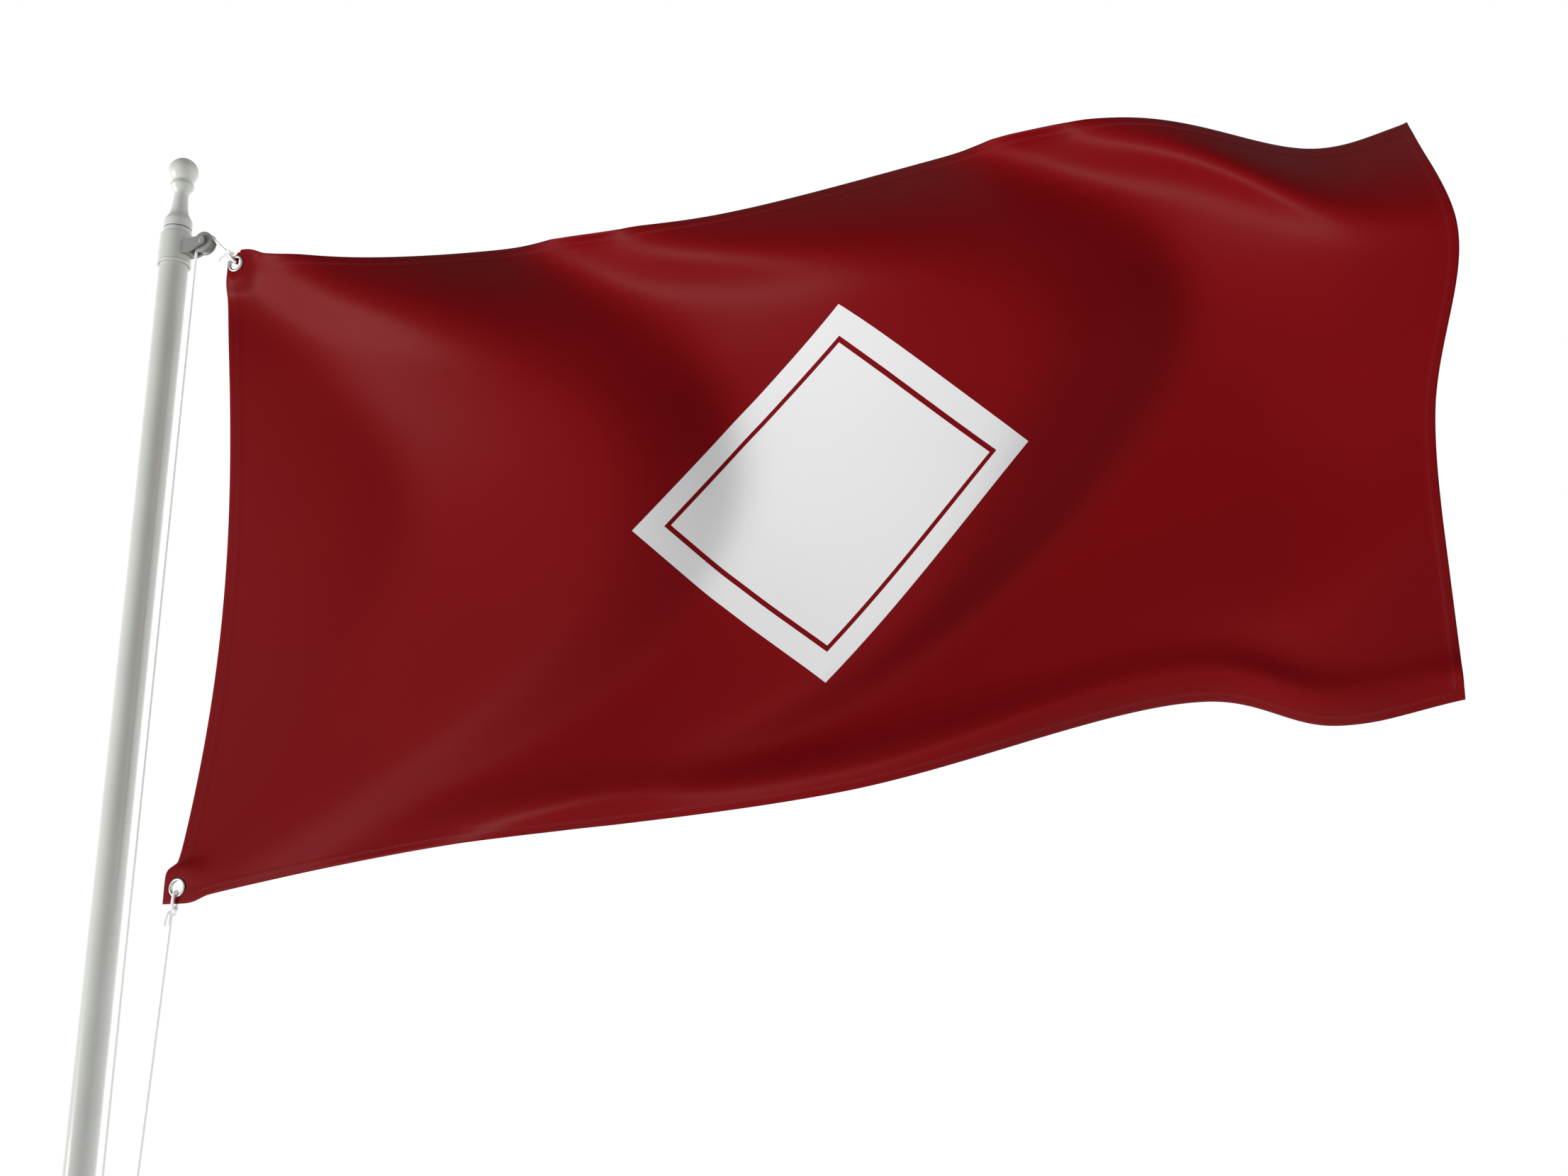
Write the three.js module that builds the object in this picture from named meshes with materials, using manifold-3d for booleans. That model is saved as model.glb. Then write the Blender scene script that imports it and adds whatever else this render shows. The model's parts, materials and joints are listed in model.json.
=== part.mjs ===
// A flag flown from the truck of a ground-set pole, in millimetres, +Z up.
// The origin is on the pole's axis at ground level, and the flag streams towards +X.
import * as THREE from "three";
import { mergeVertices } from "three/addons/utils/BufferGeometryUtils.js";
import Module from "manifold-3d";

const wasm = await Module();
wasm.setup();

// ---- Driving dimensions ----
const GAP = 0.3; // clearance kept between pieces that touch
const ROUND = 32; // facets round a turned piece

const POLE = { radius: 20, wall: 2.5 };
const TRUCK_TOP = 2900; // height of the seam between truck and finial

const TRUCK = {
  wall: 2.2,
  depth: 56,
  neck: 7,
  neckRadius: 19.5,
  roof: 14,
  lip: 4,
  lipStep: 0.8,
  chamfer: 2.5,
};
const SPINDLE = { radius: 6, intoTruck: 22, intoFinial: 24 };
const GASKET = { radius: 18.7, thickness: 1.2 };
const FINIAL = { baseRadius: 19.5, stem: 10.2, ball: 20.8, ballHeight: 90.4, neck: 14.4 };

const SHEAVE = { x: 50, drop: 29, flange: 15.5, groove: 11, width: 13.5, rim: 2.2 };
const BUSH = { radius: 5, wall: 1.7 };
const WASHER = { radius: 6.2, thickness: 1 };
const FORK = { arm: 4, web: 8, rootTop: 25, rootBottom: 43, end: 7.5, spigot: 5 };
const AXLE = { radius: 3, headRadius: 5.2, head: 2 };

const ROPE = 4; // halyard diameter
const CLEAT = {
  height: 1000, length: 150, standoff: 34, horn: 6.5, leg: 8, spread: 20, pad: 7, padEnd: 19, padHalf: 9,
};
const CLEAT_SCREW = { radius: 2.5, headRadius: 4.2, head: 2.4, length: 12 };

const BASE = { radius: 80, plate: 12, socketHeight: 70, socketWall: 7, floor: 5 };
const BASE_HOLES = { circle: 61, radius: 6.5, count: 4 };
const SET_SCREW = { radius: 3, headRadius: 4.6, head: 3.6 };

const FLAG = { hoist: 900, fly: 1710, thickness: 2, bottom: TRUCK_TOP - 950 };
const CLOTH_STEPS = { fly: 57, hoist: 20 };
const FINE = { fly: 228, hoist: 120 }; // the grid that the folds are worked out on
const GROMMET = { x: 106.5, inset: 20, inner: 8.5, barrel: 9.6, outer: 12.2, lip: 1.1 };
const FLAT_CORNER = { within: 34, blend: 80 }; // the cloth lies flat round each grommet
const FOLD = { slope: 0.11, widest: 320, calm: 0.45, calmTo: 0.32, steeper: 2.2, steepFrom: 0.8 };
const FOLDS_UP = { low: 0.1, more: 0.5 }; // what lies further back also lies higher, most at the top
const FOLDS_TO_POLE = 0.8; // and nearer the pole, most at the hoist
const HOIST_BOW = 50; // how far the hoist edge bows away from the pole between the grommets
const LEAN = 63; // how far the top edge is behind the bottom one
const BOTTOM_ROLL = { depth: 36, at: 0.04, above: 0.035, below: 0.022 };
const TOP_ROLL = { depth: 28, from: 0.92 };
const BILLOW = { y: 30, reach: 260 }; // how far the hoist edge bows back between the grommets

const UPPER_KNOT = { x: 94, z: TRUCK_TOP - 53.5, radius: 5 };
const LOWER_KNOT = { x: 103.5, z: FLAG.bottom - 8.5, radius: 5 };

// ---- Solids ----
function solid(geometry) {
  const bare = geometry.index ? geometry.toNonIndexed() : geometry.clone();
  bare.deleteAttribute("normal");
  bare.deleteAttribute("uv");
  const merged = mergeVertices(bare, 1e-4);
  return new wasm.Manifold(
    new wasm.Mesh({
      numProp: 3,
      vertProperties: new Float32Array(merged.attributes.position.array),
      triVerts: new Uint32Array(merged.index.array),
    }),
  );
}

function geometryOf(manifold) {
  const mesh = manifold.getMesh();
  const geometry = new THREE.BufferGeometry();
  geometry.setAttribute("position", new THREE.BufferAttribute(new Float32Array(mesh.vertProperties), 3));
  geometry.setIndex(new THREE.BufferAttribute(new Uint32Array(mesh.triVerts), 1));
  geometry.computeVertexNormals();
  return geometry;
}

// A turned solid about Z from a closed list of [radius, height].
function turned(profile, facets = ROUND) {
  const closed = profile.map(([r, z]) => new THREE.Vector2(r, z));
  const first = closed[0];
  const last = closed[closed.length - 1];
  if (first.x > 0 || last.x > 0) closed.push(first.clone());
  const geometry = new THREE.LatheGeometry(closed, facets);
  geometry.rotateX(Math.PI / 2);
  const made = solid(geometry);
  return made.volume() < 0 ? solid(flipped(geometry)) : made;
}

function flipped(geometry) {
  const loose = geometry.toNonIndexed();
  const position = loose.attributes.position;
  const corner = new THREE.Vector3();
  const other = new THREE.Vector3();
  for (let i = 0; i < position.count; i += 3) {
    corner.fromBufferAttribute(position, i + 1);
    other.fromBufferAttribute(position, i + 2);
    position.setXYZ(i + 1, other.x, other.y, other.z);
    position.setXYZ(i + 2, corner.x, corner.y, corner.z);
  }
  return loose;
}

function rod(radius, low, high, facets = ROUND) {
  return turned([[0, low], [radius, low], [radius, high], [0, high]], facets);
}

function ring(inner, outer, low, high, facets = ROUND) {
  return turned([[inner, low], [outer, low], [outer, high], [inner, high]], facets);
}

function block(x0, x1, y0, y1, z0, z1) {
  const geometry = new THREE.BoxGeometry(x1 - x0, y1 - y0, z1 - z0);
  geometry.translate((x0 + x1) / 2, (y0 + y1) / 2, (z0 + z1) / 2);
  return solid(geometry);
}

function moved(manifold, matrix) {
  const geometry = geometryOf(manifold).applyMatrix4(matrix);
  return solid(geometry);
}

const shift = (x, y, z) => new THREE.Matrix4().makeTranslation(x, y, z);
const ALONG_Y = new THREE.Matrix4().makeRotationX(-Math.PI / 2); // turns +Z to +Y
const ALONG_X = new THREE.Matrix4().makeRotationY(Math.PI / 2); // turns +Z to +X
const ALONG_MINUS_Y = new THREE.Matrix4().makeRotationX(Math.PI / 2);

function turnedAbout(x, y, z, direction) {
  return shift(x, y, z).multiply(direction);
}

// A round tube along a smooth curve through points, with the same number of steps between each two of them.
function tube(points, diameter, stepsBetween = 1) {
  const curve = new THREE.CatmullRomCurve3(points.map((p) => new THREE.Vector3(...p)), false, "centripetal");
  curve.getUtoTmapping = (share) => share;
  const section = new THREE.Shape();
  section.absarc(0, 0, diameter / 2, 0, 2 * Math.PI, false);
  const geometry = new THREE.ExtrudeGeometry(section, {
    steps: (points.length - 1) * stepsBetween,
    curveSegments: 4,
    extrudePath: curve,
    bevelEnabled: false,
  });
  return solid(geometry);
}

// ---- Materials ----
const paint = (color, roughness, metalness) => new THREE.MeshStandardMaterial({ color, roughness, metalness });
const polePaint = paint(0xc6c8c1, 0.3, 0.1);
const forkPaint = paint(0x85867f, 0.45, 0.2);
const steel = paint(0xb5b6b2, 0.3, 0.9);
const brass = paint(0xb08d4a, 0.4, 0.9);
const nylon = paint(0xe4e2da, 0.5, 0);
const rubber = paint(0x1c1c1b, 0.8, 0);
const ropeWhite = paint(0xf0efeb, 0.8, 0);
const clothRed = paint(0x73161a, 0.6, 0);

const flagpole = new THREE.Group();
function add(name, manifold, material) {
  const mesh = new THREE.Mesh(geometryOf(manifold), material);
  mesh.name = name;
  flagpole.add(mesh);
}

// ---- Base and pole ----
const poleBore = POLE.radius + GAP;
const socketRadius = poleBore + BASE.socketWall;

function baseFlange() {
  const socketTop = BASE.plate + BASE.socketHeight;
  let flange = turned([
    [0, 0],
    [BASE.radius, 0],
    [BASE.radius, BASE.plate - 2],
    [BASE.radius - 2, BASE.plate],
    [socketRadius + 8, BASE.plate],
    [socketRadius + 2, BASE.plate + 5],
    [socketRadius, BASE.plate + 14],
    [socketRadius, socketTop - 2],
    [socketRadius - 2, socketTop],
    [poleBore, socketTop],
    [poleBore, BASE.floor],
    [0, BASE.floor],
  ]);
  for (let i = 0; i < BASE_HOLES.count; i++) {
    const angle = (Math.PI / 2) * (i + 0.5);
    const hole = rod(BASE_HOLES.radius, -1, BASE.plate + 1, 24);
    flange = flange.subtract(
      moved(hole, shift(BASE_HOLES.circle * Math.cos(angle), BASE_HOLES.circle * Math.sin(angle), 0)),
    );
  }
  for (const side of [1, -1]) flange = flange.subtract(baseScrewSolid(side, GAP));
  return flange;
}

// A cap screw that goes through the socket wall and bears on the pole, on the +Y or -Y side.
function baseScrewSolid(side, grown = 0) {
  const height = BASE.plate + BASE.socketHeight - 22;
  const tip = POLE.radius + GAP;
  const seat = socketRadius + GAP;
  const screw = turned(
    [
      [0, grown ? tip - 2 : tip],
      [SET_SCREW.radius + grown, grown ? tip - 2 : tip],
      [SET_SCREW.radius + grown, grown ? seat + 4 : seat],
      ...(grown ? [] : [[SET_SCREW.headRadius, seat], [SET_SCREW.headRadius, seat + SET_SCREW.head]]),
      [0, grown ? seat + 4 : seat + SET_SCREW.head],
    ],
    20,
  );
  return moved(screw, turnedAbout(0, 0, height, side > 0 ? ALONG_Y : ALONG_MINUS_Y));
}

const poleFoot = BASE.floor + GAP;
const poleHead = TRUCK_TOP - TRUCK.roof - GAP;

function poleTube() {
  let pole = ring(POLE.radius - POLE.wall, POLE.radius, poleFoot, poleHead, 48);
  for (const up of [1, -1]) pole = pole.subtract(cleatScrewSolid(up, GAP));
  return pole;
}

// ---- Truck, finial and what joins them ----
const sleeveRadius = poleBore + TRUCK.wall;

function truckBody() {
  const low = TRUCK_TOP - TRUCK.depth;
  let body = turned([
    [poleBore, low],
    [sleeveRadius + TRUCK.lipStep, low],
    [sleeveRadius + TRUCK.lipStep, low + TRUCK.lip],
    [sleeveRadius, low + TRUCK.lip + 1],
    [sleeveRadius, TRUCK_TOP - TRUCK.neck - TRUCK.chamfer],
    [TRUCK.neckRadius, TRUCK_TOP - TRUCK.neck],
    [TRUCK.neckRadius, TRUCK_TOP],
    [SPINDLE.radius + GAP, TRUCK_TOP],
    [SPINDLE.radius + GAP, TRUCK_TOP - TRUCK.roof],
    [poleBore, TRUCK_TOP - TRUCK.roof],
  ]);
  body = body.subtract(forkSpigot(GAP));
  for (const side of [1, -1]) body = body.subtract(truckScrewSolid(side, GAP));
  return body;
}

// A headless screw that clamps the truck to the pole, on its back, to either side of the fork's line.
function truckScrewSolid(side, grown = 0) {
  const length = TRUCK.wall - 0.4;
  const low = POLE.radius + GAP;
  const screw = rod(SET_SCREW.radius + grown, low - (grown ? 2 : 0), low + length + (grown ? 4 : 0), 20);
  const turn = new THREE.Matrix4().makeRotationZ(Math.PI + (side * Math.PI) / 4);
  return moved(screw, shift(0, 0, TRUCK_TOP - 40).multiply(turn).multiply(ALONG_X));
}

function finialSpindle() {
  const low = TRUCK_TOP - SPINDLE.intoTruck;
  const high = TRUCK_TOP + GASKET.thickness + SPINDLE.intoFinial;
  const nutTop = TRUCK_TOP - TRUCK.roof - GAP;
  return rod(SPINDLE.radius, low, high, 32).add(rod(SPINDLE.radius + 4, low + 1, nutTop, 6));
}

function finialGasket() {
  return ring(
    SPINDLE.radius + GAP,
    GASKET.radius,
    TRUCK_TOP + GAP / 2,
    TRUCK_TOP + GASKET.thickness - GAP / 2,
  );
}

function finial() {
  const ball = FINIAL.ball;
  const from = Math.asin(FINIAL.neck / ball);
  const steps = 10;
  const ballArc = [];
  for (let i = 0; i <= steps; i++) {
    const angle = Math.PI - from - ((Math.PI - from) * i) / steps;
    ballArc.push([ball * Math.sin(angle), FINIAL.ballHeight + ball * Math.cos(angle)]);
  }
  ballArc[ballArc.length - 1][0] = 0;
  const profile = [
    [FINIAL.baseRadius, 0],
    [FINIAL.baseRadius, 11.5],
    [16.4, 17.5],
    [12.8, 26],
    [11.2, 37],
    [FINIAL.stem, 52],
    [13.2, 60.5],
    [16, 64.5],
    [16.9, 67.2],
    [16, 71],
    ...ballArc,
    [0, SPINDLE.intoFinial + 1],
    [SPINDLE.radius + GAP, SPINDLE.intoFinial + 1],
    [SPINDLE.radius + GAP, 0],
  ];
  return moved(turned(profile), shift(0, 0, TRUCK_TOP + GASKET.thickness + GAP / 2));
}

// ---- Pulley ----
const axleZ = TRUCK_TOP - SHEAVE.drop;
const washerGap = WASHER.thickness + 2 * GAP;
const forkInside = SHEAVE.width / 2 + washerGap;
const forkOutside = forkInside + FORK.arm;
const spigotZ = TRUCK_TOP - (FORK.rootTop + FORK.rootBottom) / 2;

function forkSpigot(grown = 0) {
  const root = rod(FORK.spigot + grown, poleBore + (grown ? -1 : 0), sleeveRadius + FORK.web / 2, 24);
  return moved(root, turnedAbout(0, 0, spigotZ, ALONG_X));
}

function pulleyFork() {
  const side = new THREE.Shape();
  const rootX = sleeveRadius - 8;
  side.moveTo(rootX, TRUCK_TOP - FORK.rootBottom);
  side.lineTo(sleeveRadius + FORK.web, TRUCK_TOP - FORK.rootBottom);
  side.lineTo(SHEAVE.x + FORK.end * Math.cos(-Math.PI / 2.6), axleZ + FORK.end * Math.sin(-Math.PI / 2.6));
  side.absarc(SHEAVE.x, axleZ, FORK.end, -Math.PI / 2.6, Math.PI / 2, false);
  side.lineTo(rootX, TRUCK_TOP - FORK.rootTop + 1);
  const outline = new THREE.ExtrudeGeometry(side, {
    depth: 2 * forkOutside,
    bevelEnabled: false,
    curveSegments: 14,
  });
  // Local X and Y of the outline become X and Z, and its depth runs along -Y.
  outline.rotateX(Math.PI / 2);
  outline.translate(0, forkOutside, 0);
  const slot = block(
    sleeveRadius + FORK.web,
    SHEAVE.x + 3 * FORK.end,
    -forkInside,
    forkInside,
    TRUCK_TOP - 2 * FORK.rootBottom,
    TRUCK_TOP,
  );
  const seat = rod(sleeveRadius + GAP, TRUCK_TOP - 2 * FORK.rootBottom, TRUCK_TOP, 48);
  const bore = moved(
    rod(AXLE.radius + GAP, -forkOutside - 1, forkOutside + 1, 24),
    turnedAbout(SHEAVE.x, 0, axleZ, ALONG_Y),
  );
  return solid(outline).subtract(slot).subtract(seat).subtract(bore).add(forkSpigot());
}

function sheaveWheel() {
  const half = SHEAVE.width / 2;
  const bore = BUSH.radius + GAP;
  const wheel = turned([
    [bore, -half],
    [SHEAVE.flange - 1, -half],
    [SHEAVE.flange, -half + 0.8],
    [SHEAVE.flange, -half + SHEAVE.rim],
    [SHEAVE.groove + 1, -half + SHEAVE.rim + 1.6],
    [SHEAVE.groove, -1.6],
    [SHEAVE.groove, 1.6],
    [SHEAVE.groove + 1, half - SHEAVE.rim - 1.6],
    [SHEAVE.flange, half - SHEAVE.rim],
    [SHEAVE.flange, half - 0.8],
    [SHEAVE.flange - 1, half],
    [bore, half],
  ]);
  return moved(wheel, turnedAbout(SHEAVE.x, 0, axleZ, ALONG_Y));
}

function sheaveBush() {
  const half = SHEAVE.width / 2;
  const bush = ring(BUSH.radius - BUSH.wall, BUSH.radius, -half, half, 28);
  return moved(bush, turnedAbout(SHEAVE.x, 0, axleZ, ALONG_Y));
}

function sheaveWasher(side) {
  const inner = SHEAVE.width / 2 + GAP;
  const outer = inner + WASHER.thickness;
  const [front, back] = side > 0 ? [inner, outer] : [-outer, -inner];
  const washer = ring(AXLE.radius + GAP, WASHER.radius, front, back, 28);
  return moved(washer, turnedAbout(SHEAVE.x, 0, axleZ, ALONG_Y));
}

// The axle's head is on the back (+Y); its front end is peened flush with the arm.
function sheaveAxle() {
  const seat = forkOutside + GAP;
  const pin = turned(
    [
      [0, -forkOutside],
      [AXLE.radius, -forkOutside],
      [AXLE.radius, seat],
      [AXLE.headRadius, seat],
      [AXLE.headRadius - 0.8, seat + AXLE.head],
      [0, seat + AXLE.head],
    ],
    24,
  );
  return moved(pin, turnedAbout(SHEAVE.x, 0, axleZ, ALONG_Y));
}

// ---- Cleat ----
const hornX = POLE.radius + CLEAT.standoff;

function cleatBody() {
  const half = CLEAT.length / 2;
  const profile = [];
  const steps = 16;
  for (let i = 0; i <= steps; i++) {
    const along = -Math.cos((Math.PI * i) / steps);
    const radius = CLEAT.horn * Math.sqrt(Math.max(0, 1 - Math.abs(along) ** 3));
    profile.push([i % steps ? radius : 0, along * half]);
  }
  let body = moved(turned(profile, 16), shift(hornX, 0, CLEAT.height));
  for (const up of [1, -1]) {
    const z = CLEAT.height + up * CLEAT.spread;
    const leg = turned(
      [
        [0, POLE.radius - 4],
        [CLEAT.leg, POLE.radius - 4],
        [CLEAT.leg, POLE.radius + CLEAT.pad],
        [CLEAT.horn - 1, POLE.radius + CLEAT.pad + 6],
        [CLEAT.horn - 1, hornX],
        [0, hornX],
      ],
      16,
    );
    body = body.add(moved(leg, turnedAbout(0, 0, z, ALONG_X)));
  }
  const padHalf = CLEAT.spread + CLEAT.padEnd;
  const padY = CLEAT.padHalf;
  body = body.add(
    block(POLE.radius - 4, POLE.radius + CLEAT.pad, -padY, padY, CLEAT.height - padHalf, CLEAT.height + padHalf),
  );
  body = body.subtract(rod(POLE.radius + GAP, CLEAT.height - 2 * padHalf, CLEAT.height + 2 * padHalf, 48));
  for (const up of [1, -1]) body = body.subtract(cleatScrewSolid(up, GAP));
  return body;
}

// A pan-head screw through the end of the cleat's pad into the pole wall.
function cleatScrewSolid(up, grown = 0) {
  const seat = POLE.radius + CLEAT.pad + (grown ? 0 : GAP);
  const tip = seat - CLEAT_SCREW.length - grown;
  const z = CLEAT.height + up * (CLEAT.spread + CLEAT.padEnd - CLEAT_SCREW.headRadius - 1);
  const profile = grown
    ? [[0, tip], [CLEAT_SCREW.radius + grown, tip], [CLEAT_SCREW.radius + grown, seat + 6], [0, seat + 6]]
    : [
        [0, tip],
        [CLEAT_SCREW.radius, tip],
        [CLEAT_SCREW.radius, seat],
        [CLEAT_SCREW.headRadius, seat],
        [CLEAT_SCREW.headRadius - 1, seat + CLEAT_SCREW.head],
        [0, seat + CLEAT_SCREW.head],
      ];
  return moved(turned(profile, 20), turnedAbout(0, 0, z, ALONG_X));
}

// ---- Halyard ----
const grommetTop = FLAG.bottom + FLAG.hoist - GROMMET.inset;
const grommetBottom = FLAG.bottom + GROMMET.inset;
const ropeRadius = ROPE / 2;
const wrapRadius = SHEAVE.groove + ropeRadius + GAP;
const leaves = Math.PI / 4; // where the rope leaves the sheave, above the +X side
const sheaveExit = [
  SHEAVE.x + wrapRadius * Math.cos(leaves),
  0,
  axleZ + wrapRadius * Math.sin(leaves),
];
const fallTop = [SHEAVE.x - wrapRadius, 0, axleZ];
const hitchTop = CLEAT.height + CLEAT.length / 2 + 30;

// Where a line from a to b has come when it is the given distance short of b.
function shortOf(a, b, distance) {
  const from = new THREE.Vector3(...a);
  const to = new THREE.Vector3(...b);
  const back = from.sub(to).normalize().multiplyScalar(distance);
  return to.add(back).toArray();
}

// The figure-eight hitch round the cleat's horns: it comes down in front of the upper horn, and leaves
// behind it.
function hitchPoints() {
  const points = [
    [64.4, 0, hitchTop],
    [63, -2.5, CLEAT.height + 80],
    [58, -8, CLEAT.height + 52],
    [54.5, -9.6, CLEAT.height + 25],
    [54, -9.6, CLEAT.height],
    [53, -9.4, CLEAT.height - 20],
    [49, -7.5, CLEAT.height - 31],
  ];
  const perTurn = 16;
  for (let i = 0; i <= perTurn * 1.5; i++) {
    const angle = Math.PI + (2 * Math.PI * i) / perTurn;
    const later = Math.max(0, angle - 2 * Math.PI) / Math.PI;
    const reach = 33 + 4.8 * later;
    const side = 13.8 + 2.4 * (angle / Math.PI - 1.25);
    const front = Math.max(0, -Math.cos(2 * angle));
    const layer = angle / Math.PI - 1.5;
    points.push([
      hornX - 9.3 * Math.cos(2 * angle) + 4.7 * layer * front * front,
      side * Math.sin(2 * angle),
      CLEAT.height + reach * Math.cos(angle),
    ]);
  }
  points.push([41.5, 6.5, CLEAT.height + 53]);
  points.push([36.5, 4, CLEAT.height + 75]);
  points.push([34.6, 0.5, hitchTop]);
  return points;
}

function cleatHitch() {
  return tube(hitchPoints(), ROPE, 2);
}

// The fall: up from the cleat, close beside the pole, and over the sheave.
function fallRope() {
  const foot = [34.6, 0.5, hitchTop + GAP];
  const points = [foot];
  for (const share of [0.02, 0.25, 0.5, 0.75, 0.985]) {
    points.push(foot.map((value, axis) => value + share * (fallTop[axis] - value)));
  }
  const arcSteps = 7;
  for (let i = 0; i <= arcSteps; i++) {
    const angle = Math.PI + ((leaves - Math.PI) * i) / arcSteps;
    points.push([SHEAVE.x + wrapRadius * Math.cos(angle), 0, axleZ + wrapRadius * Math.sin(angle)]);
  }
  return tube(points, ROPE);
}

const upperKnot = [UPPER_KNOT.x, 0, UPPER_KNOT.z];
const lowerKnot = [LOWER_KNOT.x, 0, LOWER_KNOT.z];

function upperRope() {
  const start = shortOf(upperKnot, sheaveExit, 2 * GAP);
  const end = shortOf(sheaveExit, upperKnot, UPPER_KNOT.radius + GAP);
  return tube([start, end], ROPE, 2);
}

function lowerRope() {
  const foot = [64.4, 0, hitchTop + GAP];
  return tube([foot, shortOf(foot, lowerKnot, LOWER_KNOT.radius + GAP)], ROPE, 4);
}

// A knot with its loop through the grommet at the given height, and a short tail.
function knotSolid(knot, grommetZ, tail) {
  const grommet = new THREE.Vector3(GROMMET.x, 0, grommetZ);
  const centre = new THREE.Vector3(...knot);
  const toKnot = centre.clone().sub(grommet).normalize();
  const off = FLAG.thickness / 2 + GROMMET.lip + ropeRadius + GAP + 0.3;
  const at = (distance, y) => {
    const point = grommet.clone().addScaledVector(toKnot, distance);
    return [point.x, y, point.z];
  };
  const reach = centre.distanceTo(grommet);
  const through = GROMMET.inner - ropeRadius - 1.2;
  const loop = tube(
    [
      at(reach, -1.5),
      at(reach - 4, -off + 0.6),
      at(GROMMET.barrel, -off),
      at(through + 1, -off + 1),
      at(through - 1.2, 0),
      at(through + 1, off - 1),
      at(GROMMET.barrel, off),
      at(reach - 4, off - 0.6),
      at(reach, 1.5),
    ],
    ROPE,
    2,
  );
  const ball = new THREE.SphereGeometry(knot === upperKnot ? UPPER_KNOT.radius : LOWER_KNOT.radius, 12, 8);
  ball.translate(...knot);
  return solid(ball).add(loop).add(tube(tail, ROPE));
}

// ---- Flag ----
const smooth = (x) => {
  const t = Math.min(1, Math.max(0, x));
  return t * t * (3 - 2 * t);
};

// The cloth's edges as shares of the flag's sizes, [along, up], from its lower hoist corner. The top sags,
// the bottom rises, and both dip before the fly.
const TOP = [[0, 1], [0.175, 0.945], [0.41, 0.92], [0.73, 0.955], [0.855, 0.865], [0.91, 0.88]];
const BOTTOM = [[0, 0], [0.205, 0.055], [0.525, 0.1], [0.76, 0.18], [0.83, 0.145], [0.905, 0.165]];
const FLY = [BOTTOM[5], [0.905, 0.5], [0.93, 0.73], TOP[5]];
const HOIST_STEPS = 40;
const HOIST = Array.from({ length: HOIST_STEPS + 1 }, (_, k) => {
  const up = k / HOIST_STEPS;
  return [(HOIST_BOW * Math.sin(Math.PI * up ** 0.8)) / FLAG.fly, up];
});

// The fold lines as [share up the hoist, share along the fly], from the hoist to the fly. Valleys and
// crests take turns, starting with a valley, and they all gather at the lower grommet.
const FOLD_LINES = [
  [[0, 0], [0.3, 0.11], [0.6, 0.16], [1, 0]],
  [[0, 0.02], [0.2, 0.2], [0.5, 0.33], [0.75, 0.29], [1, 0.03]],
  [[0, 0.12], [0.15, 0.27], [0.5, 0.43], [0.75, 0.39], [1, 0.27]],
  [[0, 0.22], [0.2, 0.5], [0.5, 0.64], [0.8, 0.62], [1, 0.32]],
  [[0, 0.33], [0.2, 0.58], [0.45, 0.75], [0.75, 0.77], [1, 0.63]],
  [[0, 0.55], [0.1, 0.77], [0.35, 1.02], [0.6, 1.05], [0.85, 0.98], [1, 0.7]],
  [[0, 0.9], [0.25, 1.25], [0.6, 1.4], [1, 1]],
];
const BEFORE_FOLDS = -0.1; // shares along the fly that close the list of folds at either end
const AFTER_FOLDS = 1.6;

// The value at x on the straight lines between [x, value] points.
function between(points, x) {
  const next = points.findIndex((p) => p[0] > x);
  if (next === 0) return points[0][1];
  if (next < 0) return points[points.length - 1][1];
  const [x0, y0] = points[next - 1];
  const [x1, y1] = points[next];
  return y0 + ((y1 - y0) * (x - x0)) / (x1 - x0);
}

// The value at x on a smooth curve through [x, value] points.
function curveThrough(points, x) {
  const last = points.length - 1;
  const rise = (a, b) => (points[b][1] - points[a][1]) / (points[b][0] - points[a][0]);
  const slopeAt = (k) => {
    if (k === 0) return rise(0, 1);
    if (k === last) return rise(last - 1, last);
    const before = points[k][0] - points[k - 1][0];
    const after = points[k + 1][0] - points[k][0];
    return (rise(k - 1, k) * after + rise(k, k + 1) * before) / (before + after);
  };
  const next = points.findIndex((p) => p[0] > x);
  const i = next < 0 ? last - 1 : Math.max(0, next - 1);
  const gap = points[i + 1][0] - points[i][0];
  const f = (x - points[i][0]) / gap;
  const left = (1 - f) ** 2 * ((1 + 2 * f) * points[i][1] + f * gap * slopeAt(i));
  const right = f ** 2 * ((3 - 2 * f) * points[i + 1][1] - (1 - f) * gap * slopeAt(i + 1));
  return left + right;
}

const grid = (make) =>
  Array.from({ length: FINE.fly + 1 }, (_, i) => Array.from({ length: FINE.hoist + 1 }, (__, j) => make(i, j)));

// The grid averaged over about that many cells along the fly and up the hoist; it carries on past its
// edges as it came.
function blurred(values, alongFly, upHoist) {
  const weights = (width) => {
    const reach = Math.floor(3 * width);
    const list = Array.from({ length: 2 * reach + 1 }, (_, k) => Math.exp(-0.5 * ((k - reach) / width) ** 2));
    const sum = list.reduce((a, b) => a + b, 0);
    return list.map((w) => w / sum);
  };
  const past = (at, k, last) => {
    if (k < 0) return 2 * at(0) - at(-k);
    if (k > last) return 2 * at(last) - at(2 * last - k);
    return at(k);
  };
  const mean = (at, k, last, list) => {
    const reach = (list.length - 1) / 2;
    return list.reduce((sum, w, n) => sum + w * past(at, k + n - reach, last), 0);
  };
  const across = weights(alongFly);
  const up = weights(upHoist);
  const once = grid((i, j) => mean((k) => values[k][j], i, FINE.fly, across));
  return grid((i, j) => mean((k) => once[i][k], j, FINE.hoist, up));
}

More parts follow.
